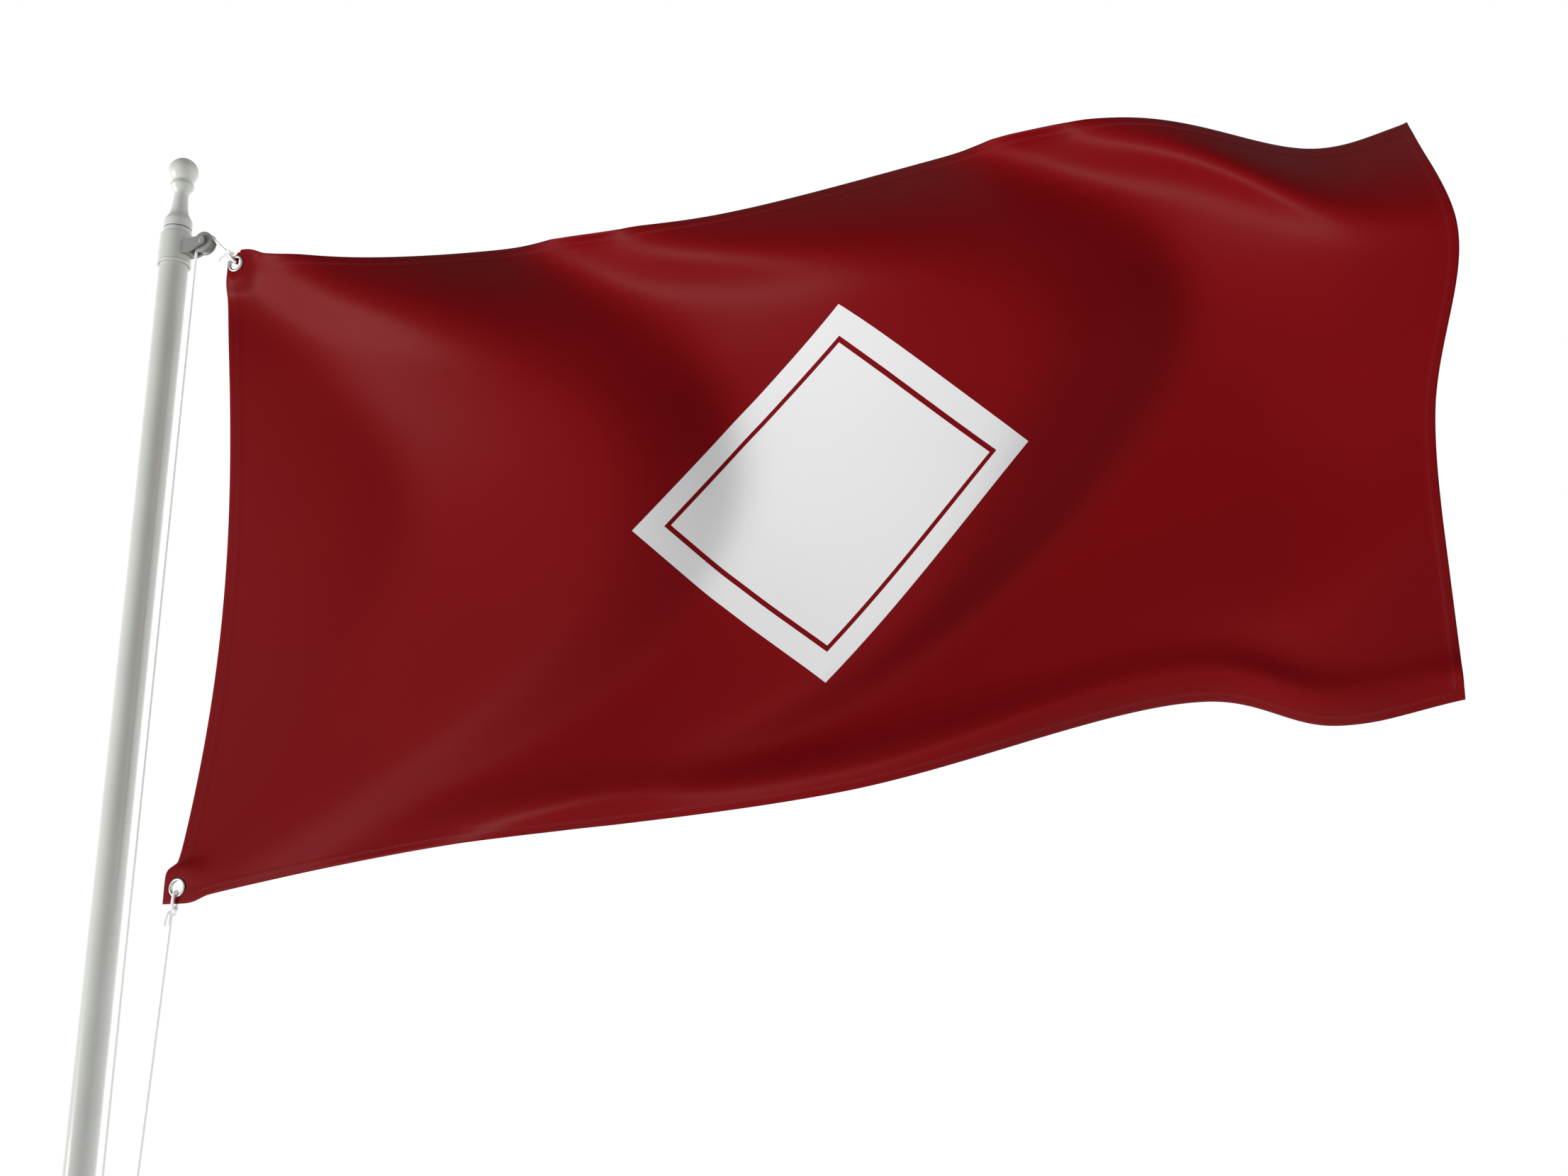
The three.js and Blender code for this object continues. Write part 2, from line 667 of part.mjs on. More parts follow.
// How far the cloth is behind the plane y = 0, on the fine grid.
function flagDepth() {
  const heights = Array.from({ length: FINE.hoist + 1 }, (_, j) => j / FINE.hoist);
  const lines = FOLD_LINES.map((line) => heights.map((up) => curveThrough(line, up)));
  const rawPhase = grid((i, j) => {
    const middle = lines.map((row, k) => [row[j], k + 1]);
    const stops = [[BEFORE_FOLDS, 0], ...middle, [AFTER_FOLDS, lines.length + 1]];
    return between(stops, i / FINE.fly);
  });
  const phase = blurred(rawPhase, 2.5, 1.5);
  const ds = FLAG.fly / FINE.fly;
  const dt = FLAG.hoist / FINE.hoist;
  const spread = grid((i, j) => {
    const [i0, i1] = [Math.max(0, i - 1), Math.min(FINE.fly, i + 1)];
    const [j0, j1] = [Math.max(0, j - 1), Math.min(FINE.hoist, j + 1)];
    const alongFly = (phase[i1][j] - phase[i0][j]) / ((i1 - i0) * ds);
    const upHoist = (phase[i][j1] - phase[i][j0]) / ((j1 - j0) * dt);
    return Math.min(1 / Math.hypot(alongFly, upHoist), FOLD.widest);
  });
  const apart = blurred(spread, 13, 7);
  const depth = grid((i, j) => {
    const along = i / FINE.fly;
    const up = j / FINE.hoist;
    const whole = Math.floor(phase[i][j]);
    const part = phase[i][j] - whole;
    // An odd whole number is a valley: the cloth rises steeply from it, and falls evenly from a crest.
    const wave = whole % 2 === 1 ? -1 + 2 * (1 - (1 - part) ** 1.5) : 1 - 2 * part ** 1.2;
    const calm = FOLD.calm + (1 - FOLD.calm) * smooth(along / FOLD.calmTo);
    const steep = 1 + FOLD.steeper * smooth((up - FOLD.steepFrom) / 0.2);
    const off = up - BOTTOM_ROLL.at;
    const roll = Math.exp(-((off / (off > 0 ? BOTTOM_ROLL.above : BOTTOM_ROLL.below)) ** 2));
    const bow = Math.max(0, Math.sin(Math.PI * up)) ** 1.2 * Math.exp((-FLAG.fly * along) / BILLOW.reach);
    return (
      -FOLD.slope * apart[i][j] * wave * calm * steep +
      LEAN * (up - 0.5) * smooth(3 * along) -
      BOTTOM_ROLL.depth * roll * smooth((along - 0.12) / 0.3) +
      TOP_ROLL.depth * smooth((up - TOP_ROLL.from) / 0.08) ** 1.5 * smooth((along - 0.02) / 0.1) +
      BILLOW.y * bow
    );
  });
  return blurred(depth, 2.2, 1.6);
}

// 0 round each grommet, where the cloth is flat, and 1 away from them.
function offCorner(along, up) {
  const fromBottom = Math.hypot(along - GROMMET.inset, up - GROMMET.inset);
  const fromTop = Math.hypot(along - GROMMET.inset, FLAG.hoist - GROMMET.inset - up);
  return smooth((Math.min(fromBottom, fromTop) - FLAT_CORNER.within) / FLAT_CORNER.blend);
}

// A function that gives the point at a share of an edge's length.
function edgeCurve(points) {
  const places = points.map(
    ([along, up]) =>
      new THREE.Vector3(GROMMET.x - GROMMET.inset + FLAG.fly * along, 0, FLAG.bottom + FLAG.hoist * up),
  );
  const curve = new THREE.CatmullRomCurve3(places, false, "centripetal");
  curve.arcLengthDivisions = 1000;
  return (share) => curve.getPointAt(share);
}

// The middle surface of the cloth as columns of points, from the hoist edge to the fly.
function flagSurface() {
  const depth = flagDepth();
  const [hoist, top, fly, bottom] = [HOIST, TOP, FLY, BOTTOM].map(edgeCurve);
  const { fly: columns, hoist: rows } = CLOTH_STEPS;
  const surface = [];
  for (let i = 0; i <= columns; i++) {
    const along = i / columns;
    // More of the cloth shows near the hoist and the bottom, where it is folded least.
    const u = along + 0.22 * along * (1 - along);
    const column = [];
    for (let j = 0; j <= rows; j++) {
      const up = j / rows;
      const v = up - 0.136 * up * (1 - up);
      const place = bottom(u).multiplyScalar(1 - v).addScaledVector(top(u), v);
      place.addScaledVector(hoist(v), 1 - u).addScaledVector(fly(v), u);
      place.addScaledVector(bottom(0), -(1 - u) * (1 - v)).addScaledVector(bottom(1), -u * (1 - v));
      place.addScaledVector(top(0), -(1 - u) * v).addScaledVector(top(1), -u * v);
      const y = depth[(i * FINE.fly) / columns][(j * FINE.hoist) / rows];
      place.x -= FOLDS_TO_POLE * (1 - along) * y;
      place.y = y;
      place.z += (FOLDS_UP.low + FOLDS_UP.more * up) * y;
      const [s, t] = [FLAG.fly * along, FLAG.hoist * up];
      const seat = new THREE.Vector3(GROMMET.x - GROMMET.inset + s, 0, FLAG.bottom + t);
      column.push(seat.lerp(place, offCorner(s, t)).toArray());
    }
    surface.push(column);
  }
  return surface;
}

// The cloth as a closed sheet of even thickness, with a clipped upper corner and holes for the grommets.
function flagCloth() {
  const surface = flagSurface();
  const columns = surface.length;
  const rows = surface[0].length;
  const point = (i, j) => new THREE.Vector3(...surface[i][j]);
  const positions = [];
  for (const side of [-1, 1]) {
    for (let i = 0; i < columns; i++) {
      for (let j = 0; j < rows; j++) {
        const alongFly = point(Math.min(i + 1, columns - 1), j).sub(point(Math.max(i - 1, 0), j));
        const upHoist = point(i, Math.min(j + 1, rows - 1)).sub(point(i, Math.max(j - 1, 0)));
        const normal = upHoist.cross(alongFly).normalize();
        if (offCorner((FLAG.fly * i) / (columns - 1), (FLAG.hoist * j) / (rows - 1)) === 0) normal.set(0, 1, 0);
        positions.push(...point(i, j).addScaledVector(normal, (side * FLAG.thickness) / 2).toArray());
      }
    }
  }
  const at = (side, i, j) => side * columns * rows + i * rows + j;
  const faces = [];
  const quad = (a, b, c, d) => faces.push(a, b, c, a, c, d);
  for (let i = 0; i + 1 < columns; i++) {
    for (let j = 0; j + 1 < rows; j++) {
      quad(at(0, i, j), at(0, i + 1, j), at(0, i + 1, j + 1), at(0, i, j + 1));
      quad(at(1, i, j), at(1, i, j + 1), at(1, i + 1, j + 1), at(1, i + 1, j));
    }
    quad(at(0, i, 0), at(1, i, 0), at(1, i + 1, 0), at(0, i + 1, 0));
    quad(at(0, i, rows - 1), at(0, i + 1, rows - 1), at(1, i + 1, rows - 1), at(1, i, rows - 1));
  }
  for (let j = 0; j + 1 < rows; j++) {
    quad(at(0, 0, j), at(0, 0, j + 1), at(1, 0, j + 1), at(1, 0, j));
    const last = columns - 1;
    quad(at(0, last, j), at(1, last, j), at(1, last, j + 1), at(0, last, j + 1));
  }
  const geometry = new THREE.BufferGeometry();
  geometry.setAttribute("position", new THREE.Float32BufferAttribute(positions, 3));
  geometry.setIndex(faces);
  let cloth = solid(geometry);
  if (cloth.volume() < 0) cloth = solid(flipped(geometry));
  for (const z of [grommetTop, grommetBottom]) {
    const hole = rod(GROMMET.barrel + GAP, -30, 30, 24);
    cloth = cloth.subtract(moved(hole, turnedAbout(GROMMET.x, 0, z, ALONG_Y)));
  }
  return cloth.subtract(cornerFold());
}

// The upper hoist corner is turned back round its grommet, so the flat sheet ends beside the ring.
function cornerFold() {
  const towards = Math.atan2(UPPER_KNOT.z - grommetTop, UPPER_KNOT.x - GROMMET.x);
  const wedge = block(0, 60, -30, 30, -60, 60);
  const turn = new THREE.Matrix4().makeRotationY(-towards);
  const reach = GROMMET.outer + 0.6;
  const place = shift(GROMMET.x, 0, grommetTop).multiply(turn).multiply(shift(reach, 0, 0));
  return moved(wedge, place);
}

// ---- Grommets ----
// The eyelet's flange is on the front (-Y), and its barrel goes back through the cloth.
function grommetEyelet(z) {
  const face = FLAG.thickness / 2 + GAP;
  const eyelet = turned(
    [
      [GROMMET.inner, -face - GROMMET.lip],
      [GROMMET.outer, -face - 0.4],
      [GROMMET.outer, -face],
      [GROMMET.barrel, -face],
      [GROMMET.barrel, face + GROMMET.lip],
      [GROMMET.inner, face + GROMMET.lip],
    ],
    28,
  );
  return moved(eyelet, turnedAbout(GROMMET.x, 0, z, ALONG_Y));
}

function grommetWasher(z) {
  const face = FLAG.thickness / 2 + GAP;
  const washer = ring(GROMMET.barrel + GAP, GROMMET.outer, face, face + GROMMET.lip, 28);
  return moved(washer, turnedAbout(GROMMET.x, 0, z, ALONG_Y));
}

// Each knot's tail, given from its knot.
const tailFrom = ([x, y, z], steps) => [[x, y, z], ...steps.map(([dx, dy, dz]) => [x + dx, y + dy, z + dz])];
const upperTail = tailFrom(upperKnot, [[-6, -3, -0.5], [-12, -4, -4.5], [-16, -4, -10.5]]);
const lowerTail = tailFrom(lowerKnot, [[-4.5, -4, -3.5], [-7, -5, -10.5], [-8, -5, -19.5]]);

add("pole_tube", poleTube(), polePaint);
add("base_flange", baseFlange(), polePaint);
add("base_screw_back", baseScrewSolid(1), steel);
add("base_screw_front", baseScrewSolid(-1), steel);
add("truck", truckBody(), polePaint);
add("truck_screw_left", truckScrewSolid(1), steel);
add("truck_screw_right", truckScrewSolid(-1), steel);
add("finial_spindle", finialSpindle(), steel);
add("finial_gasket", finialGasket(), rubber);
add("finial", finial(), polePaint);
add("pulley_fork", pulleyFork(), forkPaint);
add("sheave", sheaveWheel(), forkPaint);
add("sheave_bush", sheaveBush(), brass);
add("sheave_washer_front", sheaveWasher(-1), nylon);
add("sheave_washer_back", sheaveWasher(1), nylon);
add("sheave_axle", sheaveAxle(), steel);
add("cleat", cleatBody(), polePaint);
add("cleat_screw_upper", cleatScrewSolid(1), steel);
add("cleat_screw_lower", cleatScrewSolid(-1), steel);

add("cleat_hitch", cleatHitch(), ropeWhite);
add("fall_rope", fallRope(), ropeWhite);
add("upper_rope", upperRope(), ropeWhite);
add("lower_rope", lowerRope(), ropeWhite);
add("upper_knot", knotSolid(upperKnot, grommetTop, upperTail), ropeWhite);
add("lower_knot", knotSolid(lowerKnot, grommetBottom, lowerTail), ropeWhite);
add("flag_cloth", flagCloth(), clothRed);
add("upper_grommet", grommetEyelet(grommetTop), steel);
add("upper_grommet_washer", grommetWasher(grommetTop), steel);
add("lower_grommet", grommetEyelet(grommetBottom), steel);
add("lower_grommet_washer", grommetWasher(grommetBottom), steel);

export default flagpole;
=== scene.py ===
"""A flag hoisted on a halyard at the top of a pole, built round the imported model. Metres, +Z up."""
import json
import math

import bmesh
import bpy
import numpy as np
from mathutils import Matrix, Vector


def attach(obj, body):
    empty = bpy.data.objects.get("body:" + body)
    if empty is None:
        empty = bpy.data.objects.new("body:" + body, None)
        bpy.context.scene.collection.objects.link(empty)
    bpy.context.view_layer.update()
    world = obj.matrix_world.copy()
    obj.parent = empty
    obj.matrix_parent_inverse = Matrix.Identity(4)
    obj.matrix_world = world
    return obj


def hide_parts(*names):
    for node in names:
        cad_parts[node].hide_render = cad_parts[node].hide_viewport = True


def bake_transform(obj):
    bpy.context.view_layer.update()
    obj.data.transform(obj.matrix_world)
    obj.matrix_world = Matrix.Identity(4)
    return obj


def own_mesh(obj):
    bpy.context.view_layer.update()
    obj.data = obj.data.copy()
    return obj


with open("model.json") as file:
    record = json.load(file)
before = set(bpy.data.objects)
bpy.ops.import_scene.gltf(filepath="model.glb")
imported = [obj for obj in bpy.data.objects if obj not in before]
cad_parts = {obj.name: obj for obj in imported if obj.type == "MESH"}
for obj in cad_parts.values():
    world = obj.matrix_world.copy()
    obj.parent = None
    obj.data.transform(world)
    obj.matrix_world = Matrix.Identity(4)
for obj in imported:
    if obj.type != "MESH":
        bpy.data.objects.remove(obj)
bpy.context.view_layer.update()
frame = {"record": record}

# ---- Sizes from the model, in metres ----
TRUCK_TOP = 2.900
FINIAL_BASE = TRUCK_TOP + 0.00135
SHEAVE_X = 0.050
AXLE_Z = TRUCK_TOP - 0.029
WRAP_RADIUS = 0.0133
ROPE = 0.004
CLEAT_Z = 1.000
HORN_X = 0.054
HITCH_TOP = 1.105
GROMMET_X = 0.1065
GROMMET_TOP = 2.830
GROMMET_BOTTOM = 1.970
SWING_X = 0.09875
UPPER_KNOT = (0.094, 0, 2.8465)
LOWER_KNOT = (0.1035, 0, 1.9415)
HOIST, FLY, INSET = 0.90, 1.71, 0.020

# ---- Camera ----
CAMERA_AT = Vector((1.5784, -1.8153, 1.7366))
CAMERA_TURN, CAMERA_PITCH = math.radians(20), math.radians(15.793)

camera = bpy.data.objects.new("camera", bpy.data.cameras.new("camera"))
bpy.context.scene.collection.objects.link(camera)
bpy.context.scene.camera = camera
camera.data.lens = 40
camera.data.sensor_width = 36
camera.location = CAMERA_AT
level = math.cos(CAMERA_PITCH)
looks = Vector((-math.sin(CAMERA_TURN) * level, math.cos(CAMERA_TURN) * level, math.sin(CAMERA_PITCH)))
camera.rotation_euler = looks.to_track_quat("-Z", "Y").to_euler()


# ---- Meshes ----
def link(name, mesh):
    made = bpy.data.objects.new(name, mesh)
    bpy.context.scene.collection.objects.link(made)
    return made


def mesh_of(name, points, faces, smooth=True):
    mesh = bpy.data.meshes.new(name)
    mesh.from_pydata([tuple(p) for p in points], [], [tuple(f) for f in faces])
    mesh.validate()
    mesh.update()
    mesh.polygons.foreach_set("use_smooth", [smooth] * len(mesh.polygons))
    return link(name, mesh)


def soft_edges(obj, angle=35):
    """Smooth shading everywhere but at edges sharper than the angle."""
    obj.data.shade_smooth()
    obj.data.set_sharp_from_angle(angle=math.radians(angle))
    return obj


def bevelled(obj, width, segments=2, angle=35):
    bevel = obj.modifiers.new("bevel", "BEVEL")
    bevel.width = width
    bevel.segments = segments
    bevel.limit_method = "ANGLE"
    bevel.angle_limit = math.radians(angle)
    return obj


def applied(obj):
    """Makes the object's modifiers part of its mesh."""
    bpy.context.view_layer.update()
    depsgraph = bpy.context.evaluated_depsgraph_get()
    mesh = bpy.data.meshes.new_from_object(obj.evaluated_get(depsgraph))
    obj.modifiers.clear()
    obj.data = mesh
    return obj


def lathe(name, profile, around=96, place=None):
    """A turned piece about Z from (radius, height) in millimetres.

    A profile that starts off the axis closes on itself.
    """
    closed = profile[0][0] > 0
    points, faces, ring_of = [], [], []
    for r, z in profile:
        if r <= 1e-9:
            ring_of.append([len(points)])
            points.append((0, 0, z / 1000))
            continue
        ring_of.append(list(range(len(points), len(points) + around)))
        for k in range(around):
            angle = 2 * math.pi * k / around
            points.append((r / 1000 * math.cos(angle), r / 1000 * math.sin(angle), z / 1000))
    pairs = list(zip(ring_of, ring_of[1:] + ring_of[:1] if closed else ring_of[1:]))
    for low, high in pairs:
        for k in range(around):
            n = (k + 1) % around
            if len(low) == 1 and len(high) == 1:
                continue
            if len(low) == 1:
                faces.append((low[0], high[n], high[k]))
            elif len(high) == 1:
                faces.append((low[k], low[n], high[0]))
            else:
                faces.append((low[k], low[n], high[n], high[k]))
    made = mesh_of(name, points, faces)
    if place is not None:
        made.data.transform(place)
    outward(made)
    return soft_edges(made)


def outward(obj):
    """Turns the faces of a closed mesh to face out."""
    edit = bmesh.new()
    edit.from_mesh(obj.data)
    bmesh.ops.recalc_face_normals(edit, faces=edit.faces)
    edit.to_mesh(obj.data)
    edit.free()
    return obj


def eased(profile, radius=0.4, steps=2):
    """A turned profile with its corners rounded; its points on the axis stay where they are."""
    out = []
    count = len(profile)
    for i, here in enumerate(profile):
        here = np.array(here, float)
        before, after = np.array(profile[i - 1], float), np.array(profile[(i + 1) % count], float)
        if here[0] <= 1e-9:
            out.append(here.tolist())
            continue
        a, b = before - here, after - here
        la, lb = np.linalg.norm(a), np.linalg.norm(b)
        if la < 1e-6 or lb < 1e-6:
            out.append(here.tolist())
            continue
        cut = min(radius, la * 0.45, lb * 0.45)
        start, end = here + a / la * cut, here + b / lb * cut
        for k in range(steps + 1):
            t = k / steps
            point = (1 - t) ** 2 * start + 2 * t * (1 - t) * here + t * t * end
            out.append(point.tolist())
    return out


def spline(points, step):
    """Points about a step apart along a centripetal curve through the given ones."""
    knots = np.array(points, float)
    ends = np.vstack([2 * knots[0] - knots[1], knots, 2 * knots[-1] - knots[-2]])
    out = []
    for i in range(1, len(ends) - 2):
        p = ends[i - 1 : i + 3]
        t = np.cumsum([0] + [max(np.linalg.norm(p[k + 1] - p[k]) ** 0.5, 1e-6) for k in range(3)])
        count = max(2, int(np.linalg.norm(p[2] - p[1]) / (step / 4)))
        for s in np.linspace(t[1], t[2], count, endpoint=False):
            a = [((t[k + 1] - s) * p[k] + (s - t[k]) * p[k + 1]) / (t[k + 1] - t[k]) for k in range(3)]
            b = [((t[k + 2] - s) * a[k] + (s - t[k]) * a[k + 1]) / (t[k + 2] - t[k]) for k in range(2)]
            out.append(((t[2] - s) * b[0] + (s - t[1]) * b[1]) / (t[2] - t[1]))
    out.append(ends[-2])
    out = np.array(out)
    run = np.r_[0, np.cumsum(np.linalg.norm(np.diff(out, axis=0), axis=1))]
    at = np.linspace(0, run[-1], max(2, int(run[-1] / step)) + 1)
    return np.stack([np.interp(at, run, out[:, k]) for k in range(3)], axis=1)


def rope(name, points, diameter=ROPE, sides=16, step=0.0011, closed_ends=True):
    """A braided rope along the points: two sets of strands that cross in a diamond pattern."""
    line = spline(points, step)
    tangent = np.gradient(line, axis=0)
    tangent /= np.linalg.norm(tangent, axis=1)[:, None]
    side = np.cross(tangent[0], (0, 1, 0.01))
    side /= np.linalg.norm(side)
    sides_at = []
    for t in tangent:
        side = side - t * side.dot(t)
        side /= np.linalg.norm(side)
        sides_at.append(side)
    across = np.array(sides_at)
    up = np.cross(tangent, across)
    along = np.arange(len(line)) * step
    angle = 2 * np.pi * np.arange(sides) / sides
    lay = 2 * np.pi / (diameter * 3.2)
    a = np.cos(4 * angle[None] + lay * along[:, None])
    b = np.cos(4 * angle[None] - lay * along[:, None])
    radius = diameter / 2 * (0.985 + 0.035 * np.maximum(a, b) - 0.03 * np.abs(a * b))
    points3 = (
        line[:, None]
        + radius[..., None] * np.cos(angle)[None, :, None] * across[:, None]
        + radius[..., None] * np.sin(angle)[None, :, None] * up[:, None]
    ).reshape(-1, 3)
    count = len(line)
    faces = [
        (i * sides + k, i * sides + (k + 1) % sides, (i + 1) * sides + (k + 1) % sides, (i + 1) * sides + k)
        for i in range(count - 1)
        for k in range(sides)
    ]
    if closed_ends:
        faces.append(tuple(range(sides))[::-1])
        faces.append(tuple((count - 1) * sides + k for k in range(sides)))
    made = mesh_of(name, points3, faces)
    outward(made)
    return made, line


def joined(name, parts):
    """One object from several meshes."""
    edit = bmesh.new()
    for part in parts:
        edit.from_mesh(part.data)
    mesh = bpy.data.meshes.new(name)
    edit.to_mesh(mesh)
    edit.free()
    for part in parts:
        bpy.data.objects.remove(part)
    return link(name, mesh)


# ---- Halyard ----
leaves = math.pi / 4  # how far up round the sheave the rope leaves it
SHEAVE_EXIT = (SHEAVE_X + WRAP_RADIUS * math.cos(leaves), 0, AXLE_Z + WRAP_RADIUS * math.sin(leaves))
LOWER_FOOT = (0.0644, 0, HITCH_TOP)
FALL_FOOT = (0.0346, 0.0005, HITCH_TOP)
UPPER_END = (SWING_X - 0.001, 0, 2.8425)
LOWER_END = (LOWER_KNOT[0] - 0.002, 0, LOWER_KNOT[2] - 0.001)
LONG_RUN_STEP = 0.0014


def hitch_points():
    """The figure-eight on the cleat, from the lower run's foot to the foot of the fall."""
    z = CLEAT_Z
    points = [
        LOWER_FOOT,
        (0.063, -0.0025, z + 0.080),
        (0.058, -0.008, z + 0.052),
        (0.0545, -0.0096, z + 0.025),
        (0.054, -0.0096, z),
        (0.053, -0.0094, z - 0.020),
        (0.049, -0.0075, z - 0.031),
    ]
    for i in range(25):
        angle = math.pi + 2 * math.pi * i / 16
        later = max(0, angle - 2 * math.pi) / math.pi
        reach = 0.033 + 0.0048 * later
        side = 0.0138 + 0.0024 * (angle / math.pi - 1.25)
        front = max(0, -math.cos(2 * angle))
        layer = angle / math.pi - 1.5
        x = HORN_X - 0.0093 * math.cos(2 * angle) + 0.0047 * layer * front * front
        points.append((x, side * math.sin(2 * angle), z + reach * math.cos(angle)))
    return points + [(0.0415, 0.0065, z + 0.053), (0.0365, 0.004, z + 0.075), FALL_FOOT]


def fall_points():
    """The fall, from its foot up beside the pole and over the sheave."""
    foot = np.array(FALL_FOOT)
    top = np.array((SHEAVE_X - WRAP_RADIUS, 0, AXLE_Z))
    points = [tuple(foot + share * (top - foot)) for share in (0.02, 0.25, 0.5, 0.75, 0.985)]
    for i in range(13):
        angle = math.pi + (leaves - math.pi) * i / 12
        points.append((SHEAVE_X + WRAP_RADIUS * math.cos(angle), 0, AXLE_Z + WRAP_RADIUS * math.sin(angle)))
    return points


fall, fall_line = rope("halyard_fall", (hitch_points() + fall_points())[::-1], step=LONG_RUN_STEP)
upper_run, upper_line = rope("halyard_upper", [SHEAVE_EXIT, UPPER_END])
lower_run, lower_line = rope("halyard_lower", [LOWER_FOOT, LOWER_END], step=LONG_RUN_STEP)


def knot(name, centre, grommet_z, turn, tail):
    """An overhand knot with two strands through the grommet, and a tail."""
    middle = Vector(centre)
    eye = Vector((GROMMET_X, 0, grommet_z))
    towards = (middle - eye).normalized()
    reach = (middle - eye).length
    size = 0.00165
    crossing = []
    for i in range(46):
        t = 2 * math.pi * i / 48 + 0.3
        x = size * (math.sin(t) + 2 * math.sin(2 * t))
        z = size * (math.cos(t) - 2 * math.cos(2 * t))
        crossing.append(Vector((x, -1.25 * size * math.sin(3 * t), z)))
    spin = Matrix.Rotation(turn, 3, "Y")
    body = [tuple(middle + spin @ p) for p in crossing]
    off = 0.0047
    strand = []
    for distance, y in (
        (reach - 0.001, -0.0022),
        (reach - 0.004, -off + 0.0012),
        (0.0096, -off),
        (0.0069, -off + 0.0012),
        (0.0046, 0),
        (0.0069, off - 0.0012),
        (0.0096, off),
        (reach - 0.004, off - 0.0012),
        (reach - 0.001, 0.0022),
    ):
        at = eye + towards * distance
        strand.append((at.x, y, at.z))
    parts = [
        rope(name + "_a", body)[0],
        rope(name + "_b", strand)[0],
        rope(name + "_c", tail)[0],
    ]
    return joined(name, parts)


upper_knot = knot(
    "upper_knot_rope", UPPER_KNOT, GROMMET_TOP, 0.5,
    [UPPER_KNOT, (0.0895, -0.003, 2.8452), (0.0845, -0.0042, 2.8425), (0.0795, -0.0042, 2.8372)],
)
lower_knot = knot(
    "lower_knot_rope", LOWER_KNOT, GROMMET_BOTTOM, 0.2,
    [LOWER_KNOT, (0.0995, -0.0042, 1.9385), (0.097, -0.005, 1.931), (0.0955, -0.005, 1.9225)],
)
for piece in (upper_knot, lower_knot):
    piece.data.shade_smooth()
    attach(piece, "flag")
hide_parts("upper_knot")
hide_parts("lower_knot")

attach(fall, "pole")
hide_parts("fall_rope", "cleat_hitch")
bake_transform(upper_run)
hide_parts("upper_rope")
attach(lower_run, "pole")
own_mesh(lower_run)
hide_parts("lower_rope")


# ---- Flag ----
def smooth(x):
    t = np.clip(x, 0, 1)
    return t * t * (3 - 2 * t)


# The flag's edges as shares of its sizes, (along, up), from its lower hoist corner. The hoist edge bows
# away from the pole between its grommets, the top sags, the bottom rises, and both dip before the fly.
EDGE_TOP = [(0, 1), (0.175, 0.945), (0.41, 0.92), (0.73, 0.955), (0.855, 0.865), (0.91, 0.88)]
EDGE_BOTTOM = [(0, 0), (0.205, 0.055), (0.525, 0.10), (0.76, 0.18), (0.83, 0.145), (0.905, 0.165)]
EDGE_FLY = [EDGE_BOTTOM[-1], (0.905, 0.50), (0.93, 0.73), EDGE_TOP[-1]]
HOIST_BOW = 0.05


def hoist_edge(steps=40):
    """The hoist edge's points: bowed most a little below the middle."""
    shares = [i / steps for i in range(steps + 1)]
    return [(HOIST_BOW / FLY * math.sin(math.pi * share**0.8), share) for share in shares]


def along_edge(points, shares):
    """Points at the given shares of an edge's length, in the pole's frame."""
    corner_x, corner_z = GROMMET_X - INSET, GROMMET_BOTTOM - INSET
    line = spline([(corner_x + FLY * x, 0, corner_z + HOIST * z) for x, z in points], 0.004)
    run = np.r_[0, np.cumsum(np.linalg.norm(np.diff(line, axis=0), axis=1))]
    at = np.asarray(shares) * run[-1]
    return np.stack([np.interp(at, run, line[:, k]) for k in (0, 2)], axis=-1)


COLUMNS, ROWS = 229, 121

# The fold lines as (share up the hoist, share along the fly), from the hoist to the fly. Valleys and
# crests take turns, starting with a valley. The first two start at the lower hoist corner, and the rest
# along the bottom edge.
FOLD_LINES = [
    [(0, 0), (0.3, 0.11), (0.6, 0.16), (1, 0)],
    [(0, 0.02), (0.2, 0.2), (0.5, 0.33), (0.75, 0.29), (1, 0.03)],
    [(0, 0.12), (0.15, 0.27), (0.5, 0.43), (0.75, 0.39), (1, 0.27)],
    [(0, 0.22), (0.2, 0.5), (0.5, 0.64), (0.8, 0.62), (1, 0.32)],
    [(0, 0.33), (0.2, 0.58), (0.45, 0.75), (0.75, 0.77), (1, 0.63)],
    [(0, 0.55), (0.1, 0.77), (0.35, 1.02), (0.6, 1.05), (0.85, 0.98), (1, 0.7)],
    [(0, 0.9), (0.25, 1.25), (0.6, 1.4), (1, 1.0)],
]


FOLD = {"slope": 0.135, "widest": 0.32, "calm": 0.45, "calm_to": 0.32, "steeper": 2.2, "steep_from": 0.80}
LEAN = 0.07
BOTTOM_ROLL = {"deep": 0.036, "middle": 0.04, "above": 0.035, "below": 0.022}
TOP_ROLL = {"deep": 0.028, "height": 0.08}
BILLOW = {"deep": 0.030, "reach": 0.26}
# What lies further back also lies higher, most at the top, and nearer the pole, most at the hoist.
FOLDS_UP_LOW, FOLDS_UP_MORE = 0.1, 0.5
FOLDS_TO_POLE = 0.8


def curve_through(points, at):
    """A smooth curve's values at the given places, through (place, value) points."""
    x, y = np.array(points, float).T
    slope = np.gradient(y, x)
    i = np.clip(np.searchsorted(x, at, side="right") - 1, 0, len(x) - 2)
    gap = x[i + 1] - x[i]
    f = (at - x[i]) / gap
    ahead = (1 - f) ** 2 * ((1 + 2 * f) * y[i] + f * gap * slope[i])
    return ahead + f**2 * ((3 - 2 * f) * y[i + 1] - (1 - f) * gap * slope[i + 1])


